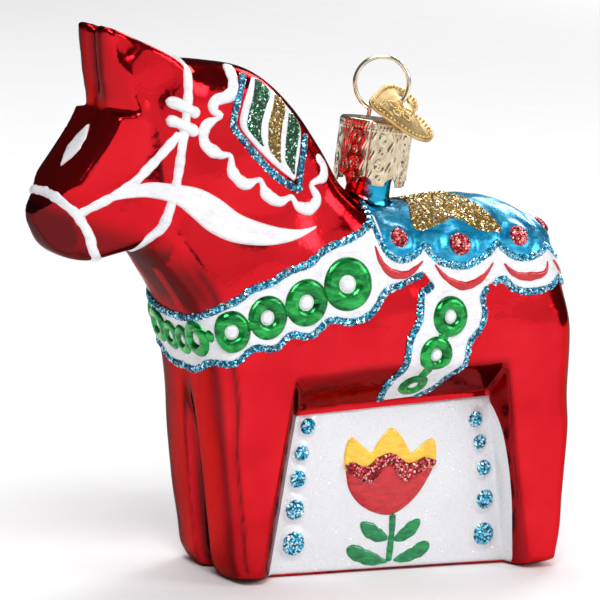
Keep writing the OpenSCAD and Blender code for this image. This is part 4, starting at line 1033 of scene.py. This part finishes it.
GIRTH_L = [(16.2, 53.3), (17.6, 51.6), (17.4, 50.6), (15.7, 49.6), (15.3, 47), (15.1, 45), (13.8, 42.4),
           (13.5, 40.6), (13.2, 37.2), (12.2, 34.6), (12, 32.4), (12.6, 30.2)]
GIRTH_R = [(30, 52.6), (28.9, 50.8), (27.9, 49.2), (28.1, 47.6), (28.4, 46), (27.7, 43.6), (25.7, 41.4),
           (25.3, 39), (25, 37.2), (23, 35), (22, 33), (19, 30.8)]
GIRTH_RINGS = [((21.3, 45.8), 3.6), ((18.9, 39.3), 3.3), ((17.1, 33.6), 2.8)]
add_enamel("girth_band", mirrored(plain([field(GIRTH_L, GIRTH_R, 0.2)])), WHITE)
add_enamel("girth_rings", mirrored(joined_rings(GIRTH_RINGS)), EMERALD)
add_enamel("girth_dots", mirrored(ring_dots(GIRTH_RINGS)), WHITE)
add_glitter("girth_glitter_edges", [bead(GIRTH_L[1:], 1.3, 0.38, gap=0.35), bead(GIRTH_R[1:], 1.3, 0.38, gap=0.35)],
            "blue", per_mm2=15, radius=0.25, seed=18)

# ---------------------------------------------------------------------------
# Panel on the web between the legs
# ---------------------------------------------------------------------------
PANEL_DOTS = [(-1.3, 26.3, 1.35), (-2.1, 21.7, 1.3), (-2.5, 17.2, 1.5), (-2.7, 11.9, 1.75), (-2.5, 6, 2.1),
              (32.1, 26.4, 1.35), (33.3, 22.3, 1.3), (34.6, 17.6, 1.4), (35.3, 12, 1.75), (35.6, 5.8, 2.1)]


def panel_relief(x, y, z):
    w = 0.05 * np.sin(0.35 * x + 0.2 * z)
    for px, pz, r in PANEL_DOTS:
        d = np.hypot(x - px, z - pz)
        w = w + 0.45 * (1 - step(r * 0.85, r * 1.45, d)) - 0.1 * np.exp(-((d - r * 1.6) / 0.4)**2)
    return w


def pearl_white():
    f = Finish("pearl_white_enamel", Coat_Weight=0.35, Coat_Roughness=0.2, Sheen_Weight=0.05)
    cloud = f.noise(120, 3)
    grain = f.noise(5200, 2)
    f.feed("Base Color", f.mix(cloud, (0.72, 0.73, 0.77, 1), (0.84, 0.845, 0.87, 1)))
    f.feed("Metallic", f.spread(cloud, 0.3, 0.7, 0.05, 0.3))
    f.feed("Roughness", f.spread(grain, 0.3, 0.7, 0.24, 0.46))
    f.bump((cloud, 0.0004, 0.5), (grain, 0.00005, 0.8))
    return f.material


def build_panel_ground():
    front, rear = [(-7, 0.6), (-5.6, 12), (-4.4, 22), (-3.5, 28)], [(41.2, 0.6), (38.9, 13), (36.5, 24), (34.8, 30.4)]
    verts, faces, top = field(front, rear, 0.3, gap=0.5, relief=panel_relief)
    mesh = mesh_of("panel_ground", *joined(mirrored([(verts, faces)])))
    material = pearl_white()
    grains = strewn(mirrored([top]), GLITTER["clear"][0], per_mm2=2.2, radius=0.09, tip=0.35, seed=19)
    add_joined("panel_ground", mesh, material, grains)


build_panel_ground()


def raised(part, lift):
    """A layer laid over the panel's own layers."""
    def up(v):
        return v - np.array([0, lift, 0]) * (v[:, 1:2] < 0) + np.array([0, lift, 0]) * (v[:, 1:2] > 0)
    if len(part) == 2:
        return up(part[0]), part[1]
    return up(part[0]), part[1], (up(part[2][0]), part[2][1])


add_glitter("panel_dots", [raised(laid(pad(r, 0.62), (x, z), 30), 0.42) for x, z, r in PANEL_DOTS], "blue",
            per_mm2=15, radius=0.25, seed=20)
PETALS_TOP = [(6.8, 18.2), (6.4, 19.6), (6.4, 21.6), (7, 24), (8.2, 23.9), (9.8, 22.6), (11.6, 21.4),
              (12.4, 22.4), (13.6, 24.2), (15.3, 25.5), (16.9, 24.6), (18.4, 22.8), (19.8, 20.9), (20.8, 21.6),
              (22.4, 22.9), (24, 23.3), (24.7, 22), (24.9, 20), (24.7, 18.2)]
PETALS_LOW = [(7.2, 17.8), (11, 17.2), (15.5, 17.4), (20, 17.2), (24.3, 17.8)]
CUP_TOP = [(7, 18.6), (10, 18.4), (13, 19), (15.6, 19.6), (18, 19), (21, 18.6), (24.5, 18.5)]
CUP_LOW = [(6.9, 18.2), (7.7, 15), (9.7, 12.4), (12.6, 10.6), (16.2, 9.8), (19.4, 11.2), (22.2, 14), (24.2, 17.6)]
BAND_TOP = [(6.6, 19.2), (8, 19.7), (9.8, 19), (11.2, 18.9), (12.9, 20.2), (15.2, 21), (17.2, 20.2),
            (18.6, 19.2), (20.2, 19.2), (22.4, 20), (24.7, 19.3)]
BAND_LOW = [(7, 18.4), (8.6, 17.2), (10.4, 16.2), (11.8, 15.9), (13, 17), (14.6, 18.9), (16, 18.8), (17, 17),
            (18.4, 16), (20, 16.4), (21.8, 17.6), (24.4, 18.6)]
add_enamel("tulip_petals", mirrored([raised(field(PETALS_TOP, PETALS_LOW, 0.5, gap=0.4, round_to=0.9)[:2], 0.12)]),
           YELLOW)
add_enamel("tulip_cup", mirrored([raised(field(CUP_TOP, CUP_LOW, 0.75, gap=0.4, round_to=2.2)[:2], 0.12)]),
           RED_ENAMEL)
add_glitter("tulip_glitter", [raised(field(BAND_TOP, BAND_LOW, 0.3, gap=0.35), 0.78)], "red", per_mm2=14,
            radius=0.24, seed=21)


def leaf(tip, foot, w, belly):
    (ax, az), (bx, bz) = tip, foot
    path = [(ax + (bx - ax) * t, az + (bz - az) * t - 0.5 * math.sin(math.pi * t)) for t in (0, 0.25, 0.5, 0.75, 1)]
    return raised(bead(path, lambda u: w * np.sin(np.pi * np.clip(u, 0, 1)**belly)**0.75 + 0.15, 0.5, across=11,
                       gap=0.3)[:2], 0.12)


add_enamel("tulip_leaves", mirrored([raised(bead([(16.9, 10.4), (17, 7), (16.9, 4), (16.8, 1.6)], 1.5, 0.5)[:2], 0.14),
                                     leaf((10.6, 9), (16.4, 5.8), 3, 1.0), leaf((22.6, 9), (17.4, 5.5), 3, 1.0),
                                     leaf((8.2, 4.6), (16.6, 1.7), 2.9, 0.7),
                                     leaf((24.9, 4.6), (17.6, 1.9), 2.9, 0.7)]),
           LEAF_GREEN)


# ---------------------------------------------------------------------------
# Cap, wire loop and heart charm, in the frame of the neck
# ---------------------------------------------------------------------------
def turn_about(axis, angle):
    return np.array(Matrix.Rotation(angle, 3, axis))


NECK_TURN = turn_about("Y", NECK_LEAN)


def on_neck(p, spin=0.0):
    return p @ turn_about("Z", spin).T @ NECK_TURN.T + NECK_FOOT


def stamped(u, v, face):
    """Height of the stamped scrollwork on one of the eight faces: u across, v up, both in mm."""
    side = 1 if face % 2 else -1
    wave = 0.32 * np.sin(2 * np.pi * v / 3.4)
    h = (ridge(u - 1.55 - wave, 0.2) + ridge(u + 1.55 + wave, 0.2)
         + 0.7 * ridge(u - 2.05 - 0.6 * wave, 0.13) + 0.7 * ridge(u + 2.05 + 0.6 * wave, 0.13))
    ring = np.hypot((u - 0.1 * side) * 1.15, (v - 3.3)) - 0.95
    gap = 1 - ridge(np.arctan2(v - 3.3, side * u) - 0.2, 0.5)
    h = h + ridge(ring, 0.17) * gap + ridge(np.hypot(u - 0.25 * side, v - 3.2) - 0.3, 0.15)
    h = h + ridge(np.hypot(u * 1.5, v - 5.7) - 0.42, 0.16) + ridge(np.hypot(u * 1.35, v - 7.9) - 0.75, 0.16)
    h = h + 0.8 * ridge(np.hypot(u, v - 1.25) - 0.35, 0.17)
    beads = 0.5 + 0.5 * np.cos(2 * np.pi * u / 0.62)
    h = h + 0.9 * beads * ridge(v - 9.75, 0.22) + 0.5 * ridge(v - 9.35, 0.09)
    return np.clip(h, 0, 1.1)


def build_cap():
    """Eight-sided cap: stamped wall, shoulder and top, then back down the inside; two holes for the wire."""
    around, up = 384, 64
    angle = np.arange(around) * 2 * np.pi / around
    k = (np.degrees(angle) + FACE_HALF) % 45 - FACE_HALF
    face = ((np.degrees(angle) + FACE_HALF) // 45).astype(int) % 8
    flat_r = CAP_W / 2 / np.cos(np.radians(k)) * (1 - 0.035 * (np.abs(k) / FACE_HALF)**4)
    across = CAP_W / 2 * np.tan(np.radians(k))
    dip = np.sqrt(np.clip(1 - ((FACE_HALF - np.abs(k)) / FACE_HALF * (CAP_W / 2 * 0.414) / HEM_H)**2, 0, 1))
    low = CAP_GAP + HEM_H * dip
    top = CAP_GAP + HEM_H + CAP_H
    shoulder = top - SHOULDER_R
    rows = []

    def add_row(r, z):
        rows.append(np.stack([r * np.cos(angle), r * np.sin(angle), np.broadcast_to(z, angle.shape)], 1))
    for i in range(up + 1):
        z = low + (shoulder - low) * i / up
        h = np.array([0.15 * stamped(np.array(a), np.array(zz - CAP_GAP), f) for a, zz, f in zip(across, z, face)])
        crease = 0.17 * ridge(np.abs(k) - FACE_HALF, 1.1)
        add_row(flat_r - RELIEF + np.minimum(h, RELIEF) - crease, z)
    for t in (20, 45, 70, 90):
        a = math.radians(t)
        add_row(flat_r - RELIEF - SHOULDER_R * (1 - math.cos(a)), shoulder + SHOULDER_R * math.sin(a))
    for share in (0.85, 0.6, 0.35, 0.1):
        add_row((flat_r - 0.63) * share, top - 0.06 * (share < 0.8) * math.cos(share))
    for share in (0.1, 0.6, 1.0):
        add_row((flat_r - CAP_T - 0.1) * share, top - CAP_T)
    for t in (0.6, 0.2, 0.0):
        add_row(flat_r - CAP_T, low + (top - CAP_T - low) * t)
    n = len(rows)
    split = up + 1 + 4 + 4
    verts = np.concatenate(rows)
    faces = [list(f) for f in grid_faces(n, around, True) if f[0] // around != split - 1]
    faces += [[(n - 1) * around + j, (n - 1) * around + (j + 1) % around, (j + 1) % around, j] for j in range(around)]
    for row, flip in ((split - 1, False), (split, True)):
        centre = len(verts)
        verts = np.concatenate([verts, verts[row * around:(row + 1) * around].mean(0)[None]])
        for j in range(around):
            f = [row * around + j, row * around + (j + 1) % around, centre]
            faces.append(f[::-1] if flip else f)
    mesh = mesh_of("stamped_cap", on_neck(verts, CAP_TURN), turned_out(verts, faces))
    shell = bpy.data.objects.new("shell", mesh)
    bpy.context.scene.collection.objects.link(shell)
    drills = []
    for s in (-1, 1):
        foot = np.array([s * LEG_X, 0, CAP_TOP - 1])
        v, f = turned([(0.65, 0), (0.65, 3)], foot, np.array([0, 0, 1.0]), 32)
        drill = bpy.data.objects.new("drill", mesh_of("drill", on_neck(v, LOOP_TURN), f))
        bpy.context.scene.collection.objects.link(drill)
        drills.append(drill)
        cut = shell.modifiers.new("hole", "BOOLEAN")
        cut.operation, cut.solver, cut.object = "DIFFERENCE", "EXACT", drill
    bpy.context.view_layer.update()
    done = bpy.data.meshes.new_from_object(shell.evaluated_get(bpy.context.evaluated_depsgraph_get()))
    for o in [shell] + drills:
        bpy.data.objects.remove(o)
    done.materials.clear()
    add_piece("stamped_cap", done, "cap", "cap", CAP_PLATE)
    done.polygons.foreach_set("material_index", [0] * len(done.polygons))


build_cap()


def build_wire():
    """One wire bent into a round loop with two straight legs."""
    open_at = math.asin(LEG_X / LOOP_R)
    ring = [(LOOP_R * math.sin(a), LOOP_Z - LOOP_R * math.cos(a))
            for a in np.linspace(open_at + 0.09, 2 * math.pi - open_at - 0.09, 60)]
    joint = LOOP_Z - LOOP_R * math.cos(open_at)
    leg = [(LEG_X, z) for z in np.linspace(CAP_TOP - WIRE_LEG, joint - 0.35, 14)]
    path = leg + ring + [(-x, z) for x, z in leg[::-1]]
    fine = smooth_path([(x, 0, z) for x, z in path], 3)
    way = np.gradient(fine, axis=0)
    way /= np.linalg.norm(way, axis=1)[:, None]
    side = np.array([0, 1.0, 0])
    out = np.cross(way, side)
    angle = np.arange(14) * 2 * np.pi / 14
    rings, count = [], len(fine)
    for i, (p, o) in enumerate(zip(fine, out)):
        end = min(i, count - 1 - i)
        r = WIRE_R * (0.7 if end == 0 else 0.93 if end == 1 else 1)
        rings.append(p + r * (np.cos(angle)[:, None] * side + np.sin(angle)[:, None] * o))
    verts = np.concatenate(rings)
    faces = section_faces(count, 14)
    add_piece("wire_loop", mesh_of("wire_loop", on_neck(verts, LOOP_TURN), turned_out(verts, faces)), "hanger",
              "hanger_wire",
              WIRE_PLATE)


build_wire()

HEART = [(0, 3.4), (1.6, 5), (4.2, 5.6), (6.2, 3.6), (6, 0.4), (3.6, -3), (0, -6.4), (-3.6, -3), (-6, 0.4),
         (-6.2, 3.6), (-4.2, 5.6), (-1.6, 5)]


def charm_place(p):
    """From the charm's own plane, its hole at the origin, to the figure."""
    p = (p + [3, -2.6, 0]) * [CHARM_SCALE, CHARM_SCALE, 1]
    p = p @ turn_about("Z", CHARM_SPIN).T @ turn_about("X", CHARM_TILT).T + [LOOP_R, 0, 0]
    p = p @ turn_about("Y", CHARM_AT).T + [0, 0, LOOP_Z]
    return on_neck(p, LOOP_TURN)


def flower_point(r, a):
    """A point of the charm's flower, r from its middle."""
    return r * math.cos(a), 0.4 + r * math.sin(a)


def build_charm():
    """Stamped heart: a plate with rounded edges and a hole, a beaded rim and a raised flower on both faces."""
    outline = smooth_path(HEART, 8, True)
    centre = outline.mean(0)
    hole = np.array([-3, 2.6])
    curve = bpy.data.curves.new("heart", "CURVE")
    curve.dimensions, curve.fill_mode = "2D", "BOTH"
    curve.extrude, curve.bevel_depth, curve.bevel_resolution = 0.17, 0.08, 2
    ring = [hole + 1.16 / CHARM_SCALE * np.array([math.cos(a), math.sin(a)])
            for a in np.linspace(0, 2 * np.pi, 33)[:-1]]
    for points in (outline + (centre - outline) * 0.013, ring):
        spline = curve.splines.new("POLY")
        spline.points.add(len(points) - 1)
        spline.points.foreach_set("co", np.concatenate([np.c_[points, np.zeros(len(points)),
                                                              np.ones(len(points))]]).ravel())
        spline.use_cyclic_u = True
    flat = bpy.data.objects.new("heart", curve)
    bpy.context.scene.collection.objects.link(flat)
    bpy.context.view_layer.update()
    plate = bpy.data.meshes.new_from_object(flat.evaluated_get(bpy.context.evaluated_depsgraph_get()))
    bpy.data.objects.remove(flat)
    both = bmesh.new()
    both.from_mesh(plate)
    bmesh.ops.remove_doubles(both, verts=both.verts, dist=1e-5)
    bmesh.ops.recalc_face_normals(both, faces=both.faces)
    inner = outline + (centre - outline) * 0.10
    for face in (-1, 1):
        line = bpy.data.meshes.new("edge")
        rim = np.c_[inner, np.full(len(inner), face * 0.25)]
        line.from_pydata(rim.tolist(), [(i, (i + 1) % len(rim)) for i in range(len(rim))], [])
        beads = grown(line, BEADED, Bead_Pitch=0.74, Bead_Radius=0.24, Finish=CHARM_PLATE)
        both.from_mesh(beads)
    stroke = []
    for i in range(5):
        a = math.radians(90 + 72 * i)
        stroke.append(([flower_point(0.6, a), flower_point(1.7, a + 0.42), flower_point(2.5, a),
                        flower_point(1.7, a - 0.42), flower_point(0.6, a)], 0.17))
    stroke.append(([flower_point(0.5, a) for a in np.linspace(0, 6.283, 9)], 0.2))
    for side in (-1, 1):
        stroke.append(([(0, -4.2), (1.1 * side, -3.2), (1.9 * side, -2.5), (1.0 * side, -2.6), (0, -4.0)], 0.16))
    for face in (-1, 1):
        for points, r in stroke:
            fine = smooth_path([(x, y, 0) for x, y in points], 8)
            way = np.gradient(fine, axis=0)
            way /= np.linalg.norm(way, axis=1)[:, None]
            side = np.cross([0, 0, 1.0], way)
            angle = np.linspace(0, 2 * np.pi, 9)[:-1]
            v = np.concatenate([p + s * (r * np.cos(angle))[:, None]
                                + np.array([0, 0, 1.0]) * (r * 0.75 * np.sin(angle))[:, None]
                                for p, s in zip(fine, side)]) + [0, 0, face * 0.25]
            f = turned_out(v, section_faces(len(fine), 8))
            part = bpy.data.meshes.new("stroke")
            part.from_pydata(v.tolist(), [], [list(map(int, q)) for q in f])
            both.from_mesh(part)
    mesh = bpy.data.meshes.new("heart_charm")
    both.to_mesh(mesh)
    both.free()
    flat_points = np.empty(len(mesh.vertices) * 3)
    mesh.vertices.foreach_get("co", flat_points)
    mesh.vertices.foreach_set("co", to_scene(charm_place(flat_points.reshape(-1, 3))).ravel())
    mesh.update()
    mesh.polygons.foreach_set("material_index", [0] * len(mesh.polygons))
    mesh.materials.clear()
    add_piece("heart_charm", mesh, "charm", "heart_charm", CHARM_PLATE)


build_charm()


# ---------------------------------------------------------------------------
# Studio
# ---------------------------------------------------------------------------
def build_floor():
    size = 6.0
    mesh = mesh_of("floor", [(-size, -size, 0), (size, -size, 0), (size, size, 0), (-size, size, 0)],
                   [(0, 1, 2, 3)], scale=False)
    f = Finish("matt_white_paper", Roughness=0.9)
    f.shader.inputs["Specular IOR Level"].default_value = 0.1
    f.feed("Base Color", f.mix(f.noise(40, 2), (0.86, 0.86, 0.87, 1), (0.90, 0.90, 0.90, 1)))
    mesh.materials.append(f.material)
    floor = bpy.data.objects.new("floor", mesh)
    bpy.context.scene.collection.objects.link(floor)


def add_light(name, at, size, watts, aim=(0, 0, 0.045), size_y=None):
    data = bpy.data.lights.new(name, "AREA")
    data.energy, data.shape, data.size = watts, "RECTANGLE", size
    data.size_y = size_y or size
    lamp = bpy.data.objects.new(name, data)
    lamp.location = at
    lamp.rotation_euler = (Vector(aim) - Vector(at)).to_track_quat("-Z", "Y").to_euler()
    bpy.context.scene.collection.objects.link(lamp)


def build_camera():
    az, el, roll = math.radians(-29.5), math.radians(9), math.radians(4)
    back = Vector((math.sin(az) * math.cos(el), -math.cos(az) * math.cos(el), math.sin(el)))
    right = Vector((math.cos(az), math.sin(az), 0))
    up = back.cross(right)
    right, up = right * math.cos(roll) + up * math.sin(roll), up * math.cos(roll) - right * math.sin(roll)
    place = Matrix((right, up, back)).transposed().to_4x4()
    place.translation = Vector((MID_X * MM, 0, 0.046)) + back * 0.540
    data = bpy.data.cameras.new("camera")
    data.sensor_width, data.lens = 36, 190.5
    data.shift_x, data.shift_y = -0.8 / 600, 3.4 / 600
    data.clip_start, data.clip_end = 0.01, 50
    camera = bpy.data.objects.new("camera", data)
    camera.matrix_world = place
    bpy.context.scene.collection.objects.link(camera)
    bpy.context.scene.camera = camera


build_floor()
build_camera()
bpy.context.scene.view_settings.view_transform = "Standard"
world = bpy.data.worlds.new("studio")
world.use_nodes = True
world.node_tree.nodes["Background"].inputs["Color"].default_value = (0.20, 0.20, 0.21, 1)
world.node_tree.nodes["Background"].inputs["Strength"].default_value = 0.5
bpy.context.scene.world = world
add_light("key", (-0.55, -0.9, 1.25), 0.7, 16)
add_light("fill", (1.3, -0.9, 0.9), 0.8, 9)
add_light("top", (0.1, 0.5, 1.5), 1.0, 13)
add_light("white_board", (0.72, -1.25, 0.45), 1.8, 4.6, size_y=0.95)
add_light("backdrop", (1.9, 1.6, 1.3), 0.9, 26, aim=(0.8, 1.5, 0))
